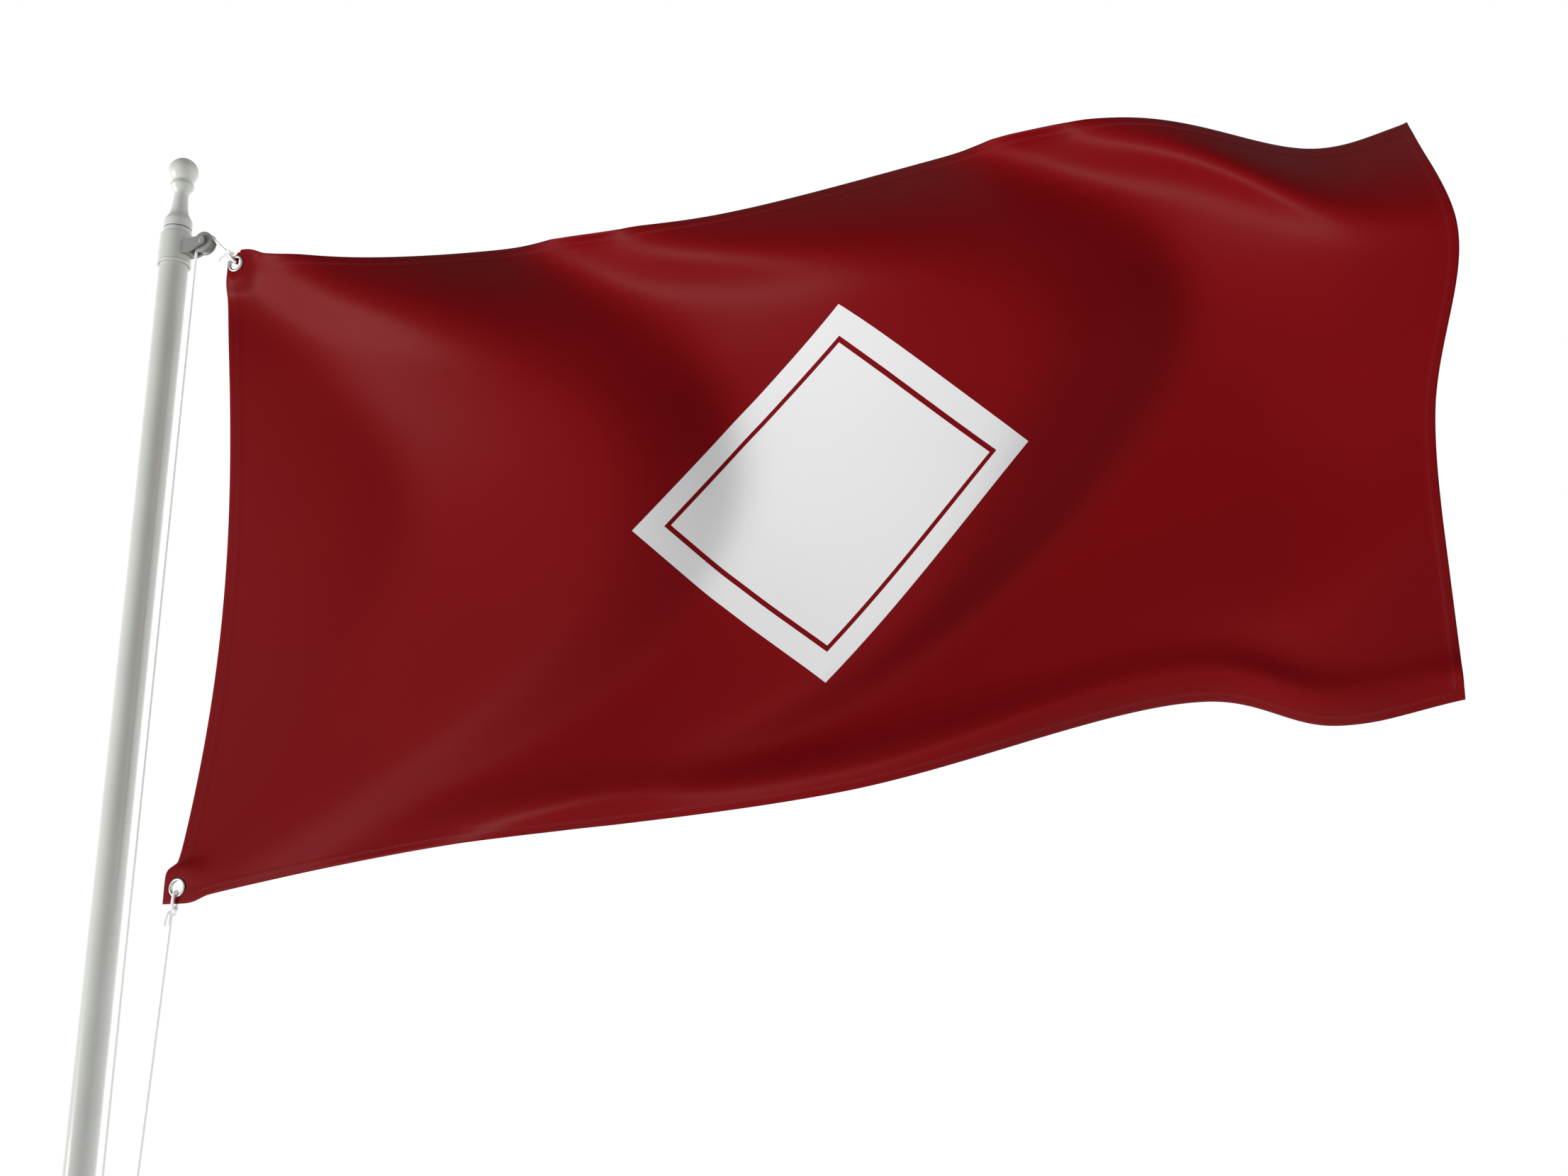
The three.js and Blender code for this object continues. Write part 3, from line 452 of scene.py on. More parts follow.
def blurred(values, across, up):
    """The grid averaged over about that many cells each way."""
    for axis, width in ((0, across), (1, up)):
        reach = int(3 * width)
        kernel = np.exp(-0.5 * (np.arange(-reach, reach + 1) / width) ** 2)
        kernel /= kernel.sum()
        pad = [(reach, reach) if k == axis else (0, 0) for k in range(2)]
        wide = np.pad(values, pad, mode="reflect", reflect_type="odd")
        values = np.apply_along_axis(lambda row: np.convolve(row, kernel, "valid"), axis, wide)
    return values


def flag_depth(s, t):
    """How far the cloth is behind the plane y = 0, for shares s along the fly and t up the hoist."""
    rows = t[0]
    lines = np.array([curve_through(line, rows) for line in FOLD_LINES])
    lines = np.vstack([np.full((1, len(rows)), -0.10), lines, np.full((1, len(rows)), 1.6)])
    phase = [np.interp(s[:, 0], lines[:, j], np.arange(len(lines))) for j in range(len(rows))]
    phase = blurred(np.stack(phase, axis=1), 2.5, 1.5)
    ds, dt = FLY / (COLUMNS - 1), HOIST / (ROWS - 1)
    spread = 1 / np.hypot(np.gradient(phase, ds, axis=0), np.gradient(phase, dt, axis=1))
    spread = blurred(np.minimum(spread, FOLD["widest"]), 13, 7)
    whole = np.floor(phase).astype(int)
    part = phase - whole
    rise = -1 + 2 * (1 - (1 - part) ** 1.5)  # from a valley to a crest: steep at first
    fall = 1 - 2 * part**1.2  # from a crest to a valley
    wave = np.where(whole % 2 == 1, rise, fall)
    calmer = FOLD["calm"] + (1 - FOLD["calm"]) * smooth(s / FOLD["calm_to"])
    steeper = 1 + FOLD["steeper"] * smooth((t - FOLD["steep_from"]) / (1 - FOLD["steep_from"]))
    depth = -FOLD["slope"] * spread * wave * calmer * steeper
    lean = LEAN * (t - 0.5) * smooth(3 * s)
    from_roll = t - BOTTOM_ROLL["middle"]
    width = np.where(from_roll > 0, BOTTOM_ROLL["above"], BOTTOM_ROLL["below"])
    roll = np.exp(-((from_roll / width) ** 2))
    depth += lean - BOTTOM_ROLL["deep"] * roll * smooth((s - 0.12) / 0.3)
    turned = smooth((t - (1 - TOP_ROLL["height"])) / TOP_ROLL["height"]) ** 1.5
    depth += TOP_ROLL["deep"] * turned * smooth((s - 0.02) / 0.1)
    bow = BILLOW["deep"] * np.sin(np.pi * t) ** 1.2 * np.exp(-FLY * s / BILLOW["reach"])
    return blurred(depth + bow, 3.4, 2.4)


def flag_target():
    s, t = np.meshgrid(np.linspace(0, 1, COLUMNS), np.linspace(0, 1, ROWS), indexing="ij")
    shares = s[:, 0] + 0.22 * s[:, 0] * (1 - s[:, 0])
    heights = t[0] - 0.136 * t[0] * (1 - t[0])
    top, bottom = along_edge(EDGE_TOP, shares), along_edge(EDGE_BOTTOM, shares)
    hoist, fly = along_edge(hoist_edge(), heights), along_edge(EDGE_FLY, heights)
    u, v = shares[:, None, None], heights[None, :, None]
    flat = (
        (1 - v) * bottom[:, None] + v * top[:, None] + (1 - u) * hoist[None] + u * fly[None]
        - (1 - u) * (1 - v) * bottom[0] - u * (1 - v) * bottom[-1] - (1 - u) * v * top[0] - u * v * top[-1]
    )
    depth = flag_depth(s, t)
    towards_pole = FOLDS_TO_POLE * (1 - s) * depth
    upward = (FOLDS_UP_LOW + FOLDS_UP_MORE * t) * depth
    return np.stack([flat[..., 0] - towards_pole, depth, flat[..., 1] + upward], axis=-1)


def flat_places(columns, rows):
    """Where each point of a grid lies on the flat cloth, along the fly and up the hoist."""
    return np.meshgrid(np.linspace(0, FLY, columns), np.linspace(0, HOIST, rows), indexing="ij")


def pinned_weights():
    """1 at the cloth round each grommet, which keeps its place, and 0 elsewhere."""
    s, t = flat_places(COLUMNS, ROWS)
    low = np.hypot(s - INSET, t - INSET)
    high = np.hypot(s - INSET, t - HOIST + INSET)
    return 1 - smooth((np.minimum(low, high) - 0.016) / 0.03)


GATHER = 0.66  # the upper corner's cloth is drawn in beside its ring by the halyard's pull


def corner_seats(surface):
    """The surface with the cloth laid at y = 0 round each grommet, and gathered at the upper one."""
    s, t = flat_places(COLUMNS, ROWS)
    x = GROMMET_X + (s - INSET)
    gathered = GROMMET_X + np.where(s < INSET, GATHER * (s - INSET), s - INSET)
    low = np.stack([x, np.zeros_like(x), GROMMET_BOTTOM + (t - INSET)], axis=-1)
    high = np.stack([gathered, np.zeros_like(x), GROMMET_TOP + (t - HOIST + INSET)], axis=-1)
    seat = np.where((t < HOIST / 2)[..., None], low, high)
    weight = pinned_weights()[..., None]
    return surface * (1 - weight) + seat * weight


def relaxed(target, rounds):
    """Pulls the target towards cloth that keeps its woven lengths, and holds its outline."""
    p = target.copy()
    hold = np.full((COLUMNS, ROWS, 1), 0.02)
    hold[[0, -1], :] = hold[:, [0, -1]] = 0.10
    hold = np.maximum(hold, pinned_weights()[..., None])
    ds, dt = FLY / (COLUMNS - 1), HOIST / (ROWS - 1)
    slant = math.hypot(ds, dt)
    links = [((1, 0), ds, 0.5), ((0, 1), dt, 0.5), ((1, 1), slant, 0.2), ((1, -1), slant, 0.2)]
    links += [((3, 0), 3 * ds, 0.15), ((0, 3), 3 * dt, 0.15)]
    for _ in range(rounds):
        move = np.zeros_like(p)
        for (i, j), rest, stiff in links:
            a = p[: COLUMNS - i, max(0, -j) : ROWS - max(0, j)]
            b = p[i:, max(0, j) : ROWS + min(0, j)]
            gap = b - a
            length = np.linalg.norm(gap, axis=-1, keepdims=True)
            # Only stretch is resisted fully: cloth gives way to squeezing by wrinkling.
            strain = np.maximum(length - 1.01 * rest, 0) / length
            push = gap * strain * stiff * 0.5
            move[: COLUMNS - i, max(0, -j) : ROWS - max(0, j)] += push
            move[i:, max(0, j) : ROWS + min(0, j)] -= push
        p += move * 0.8
        # A little smoothing keeps neighbouring rows together, as the cloth's own stiffness does.
        inner = p[1:-1, 1:-1]
        mean = (p[2:, 1:-1] + p[:-2, 1:-1] + p[1:-1, 2:] + p[1:-1, :-2]) / 4
        p[1:-1, 1:-1] = inner + 0.1 * (mean - inner)
        p += hold * (target - p)
    return p


surface = corner_seats(flag_target())
surface = relaxed(surface, 60)
surface = corner_seats(surface)


def finer(grid, times):
    """The grid of points with more between them, along smooth curves both ways."""

    def along(values, count):
        old = np.arange(len(values))
        new = np.linspace(0, len(values) - 1, count)
        i = np.clip(new.astype(int), 0, len(values) - 2)
        f = (new - i)[:, None, None]
        at = lambda k: values[np.clip(k, 0, len(values) - 1)]
        p0, p1, p2, p3 = at(i - 1), at(i), at(i + 1), at(i + 2)
        return 0.5 * (
            2 * p1 + (p2 - p0) * f + (2 * p0 - 5 * p1 + 4 * p2 - p3) * f**2
            + (3 * p1 - p0 - 3 * p2 + p3) * f**3
        )

    columns = along(grid, (grid.shape[0] - 1) * times + 1)
    rows = along(columns.transpose(1, 0, 2), (grid.shape[1] - 1) * times + 1)
    return rows.transpose(1, 0, 2)


cloth = finer(surface, 2)
NI, NJ = cloth.shape[:2]
flat_s, flat_t = flat_places(NI, NJ)
CLOTH_HOLE = 0.0097  # the radius of the hole in the cloth at each grommet
LEFT_OUT = 0.0070  # cells that reach nearer the hole's centre than this are left out
FOLD_PAST_RING, FOLD_BEHIND, CORNER_REACH = 0.0128, 0.0026, 0.045
GROMMET_PLACES = [(INSET, GROMMET_BOTTOM), (HOIST - INSET, GROMMET_TOP)]


def around_holes(points):
    """The cloth's grid with the points inside each grommet's hole moved out to its rim."""
    for up, z in GROMMET_PLACES:
        near = np.hypot(flat_s - INSET, flat_t - up)
        out = np.stack([flat_s - INSET, np.zeros_like(flat_s), flat_t - up], axis=-1)
        rim = np.array((GROMMET_X, 0, z)) + out / np.maximum(near, 1e-6)[..., None] * CLOTH_HOLE
        points = np.where((near < CLOTH_HOLE)[..., None], rim, points)
    return points


def corner_turned_back(points):
    """The upper hoist corner folded behind the cloth, along a line just past the grommet's ring."""
    centre = np.array((GROMMET_X, 0, GROMMET_TOP))
    towards = np.array((UPPER_KNOT[0], 0, UPPER_KNOT[2])) - centre
    towards /= np.linalg.norm(towards)
    near = np.hypot(flat_s - INSET, flat_t - HOIST + INSET) < CORNER_REACH
    past = np.where(near, np.maximum((points - centre) @ towards - FOLD_PAST_RING, 0), 0)
    points = points - 2 * past[..., None] * towards
    points[..., 1] += FOLD_BEHIND * smooth(past / 0.004)
    return points


cloth = corner_turned_back(around_holes(cloth))
tangent_s = np.gradient(cloth, axis=0)
tangent_t = np.gradient(cloth, axis=1)
normal = np.cross(tangent_t, tangent_s)
normal /= np.linalg.norm(normal, axis=-1, keepdims=True)  # towards the back (+Y)

from_edge = np.minimum(np.minimum(flat_s, FLY - flat_s), np.minimum(flat_t, HOIST - flat_t))
HEM = 0.016
half_thick = 0.00035 + 0.00045 * smooth((HEM - from_edge) / 0.003 + 0.5)


def flag_mesh():
    points = np.concatenate([(cloth - normal * half_thick[..., None]).reshape(-1, 3),
                             (cloth + normal * half_thick[..., None]).reshape(-1, 3)])
    keep = np.ones((NI - 1, NJ - 1), bool)
    for up, _ in GROMMET_PLACES:
        whole = np.hypot(flat_s - INSET, flat_t - up) > LEFT_OUT
        keep &= whole[1:, 1:] & whole[:-1, 1:] & whole[1:, :-1] & whole[:-1, :-1]
    at = lambda side, i, j: side * NI * NJ + i * NJ + j
    faces = []
    for i in range(NI - 1):
        for j in range(NJ - 1):
            if not keep[i, j]:
                continue
            faces.append((at(0, i, j), at(0, i + 1, j), at(0, i + 1, j + 1), at(0, i, j + 1)))
            faces.append((at(1, i, j), at(1, i, j + 1), at(1, i + 1, j + 1), at(1, i + 1, j)))
            for di, dj, a, b in ((-1, 0, (i, j), (i, j + 1)), (1, 0, (i + 1, j + 1), (i + 1, j)),
                                 (0, -1, (i + 1, j), (i, j)), (0, 1, (i, j + 1), (i + 1, j + 1))):
                ni, nj = i + di, j + dj
                if 0 <= ni < NI - 1 and 0 <= nj < NJ - 1 and keep[ni, nj]:
                    continue
                faces.append((at(0, *a), at(0, *b), at(1, *b), at(1, *a)))
    made = mesh_of("flag_sheet", points, faces)
    uv = made.data.uv_layers.new(name="flat")
    index = np.zeros(len(made.data.loops), int)
    made.data.loops.foreach_get("vertex_index", index)
    flat = np.stack([flat_s.reshape(-1), flat_t.reshape(-1)], axis=1)
    flat = np.concatenate([flat, flat])[index]
    uv.data.foreach_set("uv", flat.reshape(-1).astype(np.float32))
    edit = bmesh.new()
    edit.from_mesh(made.data)
    bmesh.ops.delete(edit, geom=[v for v in edit.verts if not v.link_faces], context="VERTS")
    bmesh.ops.recalc_face_normals(edit, faces=edit.faces)
    edit.to_mesh(made.data)
    edit.free()
    made.data.shade_smooth()
    return made


flag = flag_mesh()
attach(flag, "flag")
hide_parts("flag_cloth")


# ---- Stitching ----
STITCH = {"pitch": 0.0040, "length": 0.0030, "radius": 0.00025, "rows": (0.0115, 0.0140)}


def on_cloth(s, t, side):
    """Where a place on the flat cloth has come to, on its front (-1) or back (1) face."""
    i, j = s / FLY * (NI - 1), t / HOIST * (NJ - 1)
    i0, j0 = np.clip(i.astype(int), 0, NI - 2), np.clip(j.astype(int), 0, NJ - 2)
    fi, fj = (i - i0)[:, None], (j - j0)[:, None]
    face = cloth + side * normal * half_thick[..., None]
    low = face[i0, j0] * (1 - fi) + face[i0 + 1, j0] * fi
    high = face[i0, j0 + 1] * (1 - fi) + face[i0 + 1, j0 + 1] * fi
    return low * (1 - fj) + high * fj


def hem_rows(inset):
    """The ends of each stitch, as places on the flat cloth, in a row round all four hems."""
    sides = [
        ((inset, inset), (FLY - inset, inset)), ((FLY - inset, inset), (FLY - inset, HOIST - inset)),
        ((FLY - inset, HOIST - inset), (inset, HOIST - inset)), ((inset, HOIST - inset), (inset, inset)),
    ]
    starts, ends = [], []
    for a, b in sides:
        a, b = np.array(a), np.array(b)
        run = np.linalg.norm(b - a)
        at = np.arange(STITCH["pitch"], run - STITCH["pitch"], STITCH["pitch"])
        starts.append(a + (b - a) / run * at[:, None])
        ends.append(a + (b - a) / run * (at + STITCH["length"])[:, None])
    starts, ends = np.concatenate(starts), np.concatenate(ends)
    clear = np.ones(len(starts), bool)
    for up, _ in GROMMET_PLACES:
        clear &= np.hypot(starts[:, 0] - INSET, starts[:, 1] - up) > 0.030
    return starts[clear], ends[clear]


def stitching():
    """Short raised stitches on both faces of the hems, each a thread that dips in at both ends."""
    points, faces = [], []
    shares = np.array([0.0, 0.18, 0.5, 0.82, 1.0])
    widths = np.array([0.3, 0.85, 1.0, 0.85, 0.3]) * STITCH["radius"]
    sides = 6
    angle = 2 * np.pi * np.arange(sides) / sides
    for inset in STITCH["rows"]:
        starts, ends = hem_rows(inset)
        for face in (-1, 1):
            a, b = on_cloth(*starts.T, face), on_cloth(*ends.T, face)
            outwards = (on_cloth(*starts.T, 1) - on_cloth(*starts.T, -1)) * face
            outwards /= np.linalg.norm(outwards, axis=1)[:, None]
            along = (b - a) / np.linalg.norm(b - a, axis=1)[:, None]
            across = np.cross(along, outwards)
            middle = a[:, None] + (b - a)[:, None] * shares[:, None]
            ring = (
                np.cos(angle)[None, None, :, None] * across[:, None, None]
                + np.sin(angle)[None, None, :, None] * outwards[:, None, None]
            )
            block = (middle[:, :, None] + ring * widths[None, :, None, None]).reshape(-1, 3)
            first, size = len(points), len(shares) * sides
            points.extend(block.tolist())
            for n in range(len(starts)):
                base = first + n * size
                for r in range(len(shares) - 1):
                    for k in range(sides):
                        low, next_k = base + r * sides, (k + 1) % sides
                        faces.append((low + k, low + next_k, low + sides + next_k, low + sides + k))
                faces.append(tuple(base + k for k in range(sides))[::-1])
                faces.append(tuple(base + size - sides + k for k in range(sides)))
    return outward(mesh_of("hem_stitching", points, faces))


stitches = stitching()
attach(stitches, "flag")


# ---- Materials ----
class Nodes:
    """A short way to write a material's nodes."""

    def __init__(self, name):
        self.material = bpy.data.materials.new(name)
        self.material.use_nodes = True
        self.tree = self.material.node_tree
        self.shader = next(n for n in self.tree.nodes if n.type == "BSDF_PRINCIPLED")

    def feed(self, socket, value):
        """Links another node's output to the socket, or sets the socket's own value."""
        if isinstance(value, bpy.types.NodeSocket):
            self.tree.links.new(value, socket)
        else:
            socket.default_value = value

    def add(self, kind, inputs=(), **settings):
        node = self.tree.nodes.new("ShaderNode" + kind)
        for key, value in settings.items():
            setattr(node, key, value)
        for key, value in dict(inputs).items():
            self.feed(node.inputs[key], value)
        return node

    def math(self, operation, a, b=0.0, clamp=False):
        return self.add("Math", {0: a, 1: b}, operation=operation, use_clamp=clamp).outputs[0]

    def blend(self, share, a, b):
        node = self.add("Mix", data_type="RGBA")
        for socket, value in ((0, share), (6, a), (7, b)):
            self.feed(node.inputs[socket], value)
        return node.outputs[2]

    def set(self, **values):
        for key, value in values.items():
            self.feed(self.shader.inputs[key.replace("_", " ")], value)

    def place(self):
        return self.add("TexCoord").outputs["Object"]


def srgb(r, g, b):
    def linear(c):
        c /= 255
        return c / 12.92 if c <= 0.04045 else ((c + 0.055) / 1.055) ** 2.4

    return (linear(r), linear(g), linear(b), 1)


def metal_material(name, color, rough, metallic, coat=0.0, grain=180, bump=0.02, wear=0.1, dirt=0.12):
    """Painted or bare metal: faint mottling, roughness that varies, and a fine surface bump."""
    n = Nodes(name)
    place = n.place()
    broad = n.add("TexNoise", {"Vector": place, "Scale": 14, "Detail": 5}).outputs["Fac"]
    fine = n.add("TexNoise", {"Vector": place, "Scale": grain * 10, "Detail": 2}).outputs["Fac"]
    darker = tuple(c * (1 - dirt) for c in color[:3]) + (1,)
    share = n.add("MapRange", {"Value": broad, "From Min": 0.35, "From Max": 0.7}).outputs["Result"]
    shade = n.blend(share, color, darker)
    varied = {"Value": broad, "From Min": 0.3, "From Max": 0.7}
    varied |= {"To Min": rough * (1 - wear), "To Max": rough * (1 + 2 * wear)}
    roughness = n.add("MapRange", varied).outputs["Result"]
    relief = n.add("Bump", {"Height": fine, "Strength": bump, "Distance": 0.0002}).outputs["Normal"]
    n.set(Base_Color=shade, Roughness=roughness, Normal=relief, Metallic=metallic)
    n.shader.inputs["Coat Weight"].default_value = coat
    n.shader.inputs["Coat Roughness"].default_value = 0.08
    return n.material


def rope_material():
    n = Nodes("rope_white")
    place = n.place()
    broad = n.add("TexNoise", {"Vector": place, "Scale": 60, "Detail": 4}).outputs["Fac"]
    fibre = n.add("TexNoise", {"Vector": place, "Scale": 2600, "Detail": 3}).outputs["Fac"]
    shade = n.blend(broad, srgb(253, 253, 252), srgb(242, 242, 239))
    relief = n.add("Bump", {"Height": fibre, "Strength": 0.25, "Distance": 0.0002}).outputs["Normal"]
    n.set(Base_Color=shade, Roughness=0.75, Normal=relief)
    n.shader.inputs["Sheen Weight"].default_value = 0.3
    return n.material


# A lozenge with a thin inner line: its middle and half sizes on the flat cloth, and the line's shares.
EMBLEM = {"s": 0.855, "t": 0.45, "half_s": 0.275, "half_t": 0.275, "line_from": 0.80, "line_to": 0.835}


def cloth_material():
    n = Nodes("flag_cloth_red")
    flat = n.add("UVMap", uv_map="flat").outputs["UV"]
    parts = n.add("SeparateXYZ", {"Vector": flat})
    s, t = parts.outputs["X"], parts.outputs["Y"]
    across = n.math("DIVIDE", n.math("ABSOLUTE", n.math("SUBTRACT", s, EMBLEM["s"])), EMBLEM["half_s"])
    upward = n.math("DIVIDE", n.math("ABSOLUTE", n.math("SUBTRACT", t, EMBLEM["t"])), EMBLEM["half_t"])
    size = n.math("ADD", across, upward)
    inside = n.math("LESS_THAN", size, 1.0)
    past_start = n.math("GREATER_THAN", size, EMBLEM["line_from"])
    before_end = n.math("LESS_THAN", size, EMBLEM["line_to"])
    line = n.math("MULTIPLY", past_start, before_end)
    white = n.math("MULTIPLY", inside, n.math("SUBTRACT", 1.0, line))
    mottle = n.add("TexNoise", {"Vector": flat, "Scale": 5, "Detail": 6}).outputs["Fac"]
    stretched = n.add("Mapping", {"Vector": flat, "Scale": (40, 1500, 1)}).outputs["Vector"]
    thread = n.add("TexNoise", {"Vector": stretched, "Scale": 1, "Detail": 2}).outputs["Fac"]
    red = n.blend(mottle, srgb(113, 9, 14), srgb(105, 7, 12))
    red = n.blend(n.math("MULTIPLY", thread, 0.35), red, srgb(93, 4, 8))
    bright = n.blend(n.math("MULTIPLY", thread, 0.3), srgb(206, 206, 207), srgb(194, 194, 195))
    shade = n.blend(white, red, bright)
    ribs = {"Vector": flat, "Scale": 380, "Distortion": 0.4, "Detail": 1}
    warp = n.add("TexWave", ribs, bands_direction="X").outputs["Fac"]
    weft = n.add("TexWave", ribs, bands_direction="Y").outputs["Fac"]
    weave = n.math("MAXIMUM", warp, weft)
    relief = n.add("Bump", {"Height": weave, "Strength": 0.12, "Distance": 0.0001}).outputs["Normal"]
    rough = n.add("MapRange", {"Value": mottle, "To Min": 0.42, "To Max": 0.52}).outputs["Result"]
    n.set(Base_Color=shade, Roughness=rough, Normal=relief)
    n.shader.inputs["Specular IOR Level"].default_value = 0.05
    return n.material


def thread_material():
    """Twisted thread, mottled a little lighter and darker than the cloth."""
    n = Nodes("thread_red")
    place = n.place()
    twist = n.add("TexNoise", {"Vector": place, "Scale": 1800, "Detail": 2}).outputs["Fac"]
    relief = n.add("Bump", {"Height": twist, "Strength": 0.3, "Distance": 0.0001}).outputs["Normal"]
    n.set(Base_Color=n.blend(twist, srgb(124, 14, 19), srgb(98, 7, 11)), Roughness=0.55, Normal=relief)
    return n.material


POLE_PAINT = metal_material("pole_paint", srgb(196, 198, 192), 0.26, 0.0, coat=0.7, dirt=0.06)
FORK_PAINT = metal_material("fork_paint", srgb(128, 129, 124), 0.4, 0.1, coat=0.15, dirt=0.08)
STEEL = metal_material("stainless", srgb(186, 186, 183), 0.4, 1.0, grain=300, wear=0.25)
BRASS = metal_material("bush_brass", srgb(190, 158, 96), 0.3, 1.0, grain=300, wear=0.25)
NYLON = metal_material("washer_nylon", srgb(226, 223, 214), 0.5, 0.0)
# A dark colour for the thin ring in the seam between the truck and the finial.
SEAM_RING_DARK = metal_material("gasket_dark", srgb(40, 40, 39), 0.75, 0.0, bump=0.1)
ROPE_WHITE = rope_material()
CLOTH = cloth_material()
THREAD = thread_material()

by_slot = {"pole": POLE_PAINT, "fork": FORK_PAINT, "steel": STEEL, "brass": BRASS, "nylon": NYLON,
           "rubber": SEAM_RING_DARK, "rope": ROPE_WHITE, "cloth": CLOTH}


def paint(obj, slot):
    obj.data.materials.clear()
    obj.data.materials.append(by_slot[slot])
    return obj


for piece in (fall, upper_run, lower_run, upper_knot, lower_knot):
    paint(piece, "rope")
paint(flag, "cloth")

# ---- Hardware: helpers ----
BODY_OF = {node: body for body, nodes in frame["record"]["behaviour"]["bodies"].items() for node in nodes}
ALONG_X = Matrix.Rotation(math.pi / 2, 4, "Y")
ALONG_Y = Matrix.Rotation(-math.pi / 2, 4, "X")
ALONG_MINUS_Y = Matrix.Rotation(math.pi / 2, 4, "X")


def at(x, y, z, turn=None):
    """A place given in millimetres, with a turn about it."""
    place = Matrix.Translation((x / 1000, y / 1000, z / 1000))
    return place if turn is None else place @ turn


def stands_for(obj, slot, *nodes):
    """The piece takes the place of the CAD nodes, and moves with the first one's body."""
    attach(obj, BODY_OF[nodes[0]])
    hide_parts(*nodes)
    return paint(obj, slot)


def prism(name, outline, low, high, place):
    """A closed solid with the outline's (x, y) section in millimetres, from low to high along Z."""
    count = len(outline)
    points = [(x / 1000, y / 1000, z / 1000) for z in (low, high) for x, y in outline]
    faces = [tuple(range(count))[::-1], tuple(range(count, 2 * count))]
    faces += [(k, (k + 1) % count, count + (k + 1) % count, count + k) for k in range(count)]
    made = mesh_of(name, points, faces, smooth=False)
    made.data.transform(place)
    return outward(made)


def combined(obj, other, operation="DIFFERENCE"):
    """The object with the other one cut from it or joined to it; the other is used up."""
    change = obj.modifiers.new("combine", "BOOLEAN")
    change.object, change.operation, change.solver = other, operation, "EXACT"
    applied(obj)
    bpy.data.objects.remove(other)
    return obj


def rod(name, radius, low, high, place, around=48):
    return lathe(name, [(0, low), (radius, low), (radius, high), (0, high)], around, place)


def hexagon(across_flats):
    corner = across_flats / math.sqrt(3)
    return [(corner * math.cos(math.pi / 3 * k), corner * math.sin(math.pi / 3 * k)) for k in range(6)]


def arc(centre, radius, first, last, steps):
    turns = [first + (last - first) * k / steps for k in range(steps + 1)]
    return [(centre[0] + radius * math.cos(t), centre[1] + radius * math.sin(t)) for t in turns]


# ---- Pole and base, in millimetres ----
POLE_INSIDE, POLE_OUTSIDE, POLE_FOOT, POLE_END = 17.5, 20, 5.3, 2885.7
POLE_BORE, SOCKET = 20.3, 27.3
BASE_RADIUS, PLATE, BASE_FLOOR, SOCKET_TOP = 80, 12, 5, 82
BOLT_CIRCLE, BOLT_HOLE = 61, 6.5
SET_SCREWS_UP = 60
SCREW_CLEARANCE = 3.3


def pole_tube():
    outside = [(POLE_OUTSIDE, POLE_FOOT), (POLE_OUTSIDE, POLE_END)]
    profile = [(POLE_INSIDE, POLE_FOOT)] + outside + [(POLE_INSIDE, POLE_END)]
    return lathe("pole_tube_drawn", eased(profile, 0.5), around=128)


def base_flange():
    profile = [
        (0, 0), (BASE_RADIUS, 0), (BASE_RADIUS, PLATE - 2), (BASE_RADIUS - 2, PLATE),
        (SOCKET + 9, PLATE), (SOCKET + 4, PLATE + 1.2), (SOCKET + 1.2, PLATE + 5), (SOCKET, PLATE + 12),
        (SOCKET, SOCKET_TOP - 2.5), (SOCKET - 2, SOCKET_TOP), (POLE_BORE, SOCKET_TOP),
        (POLE_BORE, BASE_FLOOR), (0, BASE_FLOOR),
    ]
    flange = lathe("base_flange_cast", eased(profile, 1.2), around=128)
    for k in range(4):
        turn = math.pi / 2 * (k + 0.5)
        place = at(BOLT_CIRCLE * math.cos(turn), BOLT_CIRCLE * math.sin(turn), 0)
        combined(flange, rod("bolt_hole", BOLT_HOLE, -1, PLATE + 1, place))
        low, high = PLATE - 0.8, PLATE + 0.6
        chamfer = [(0, low), (BOLT_HOLE - 0.1, low), (BOLT_HOLE + 1.1, high), (0, high)]
        combined(flange, lathe("bolt_hole_edge", chamfer, 48, place))
    for turn in (ALONG_Y, ALONG_MINUS_Y):
        combined(flange, rod("set_screw_hole", SCREW_CLEARANCE, 18, 32, at(0, 0, SET_SCREWS_UP, turn)))
    return soft_edges(flange, 30)


def cap_screw(name, place, seat, tip):
    """A round-headed screw with a hexagon socket, along the place's Z."""
    screw = lathe(
        name,
        [(0, tip), (2.6, tip), (3, tip + 0.5), (3, seat), (4.6, seat), (4.6, seat + 3.1), (4.1, seat + 3.6),
         (0, seat + 3.6)],
        48, place,
    )
    socket = prism(name + "_socket", hexagon(4), seat + 1.6, seat + 4, place)
    return soft_edges(combined(screw, socket), 30)


stands_for(pole_tube(), "pole", "pole_tube")
stands_for(base_flange(), "pole", "base_flange")
for side, turn in (("back", ALONG_Y), ("front", ALONG_MINUS_Y)):
    screw = cap_screw("base_cap_screw_" + side, at(0, 0, SET_SCREWS_UP, turn), SOCKET + 0.3, POLE_BORE)
    stands_for(screw, "steel", "base_screw_" + side)

# ---- Finial and truck ----
TOP = TRUCK_TOP * 1000
BALL, BALL_HEIGHT, BALL_NECK = 20.8, 90.4, 14.4
TRUCK_SCREWS_DOWN = 40
GASKET = [(6.3, 0.15), (18.7, 0.15), (18.7, 1.05), (6.3, 1.05)]
GRUB = [(0, 20.3), (3, 20.3), (3, 21.8), (2.7, 22.1), (0, 22.1)]


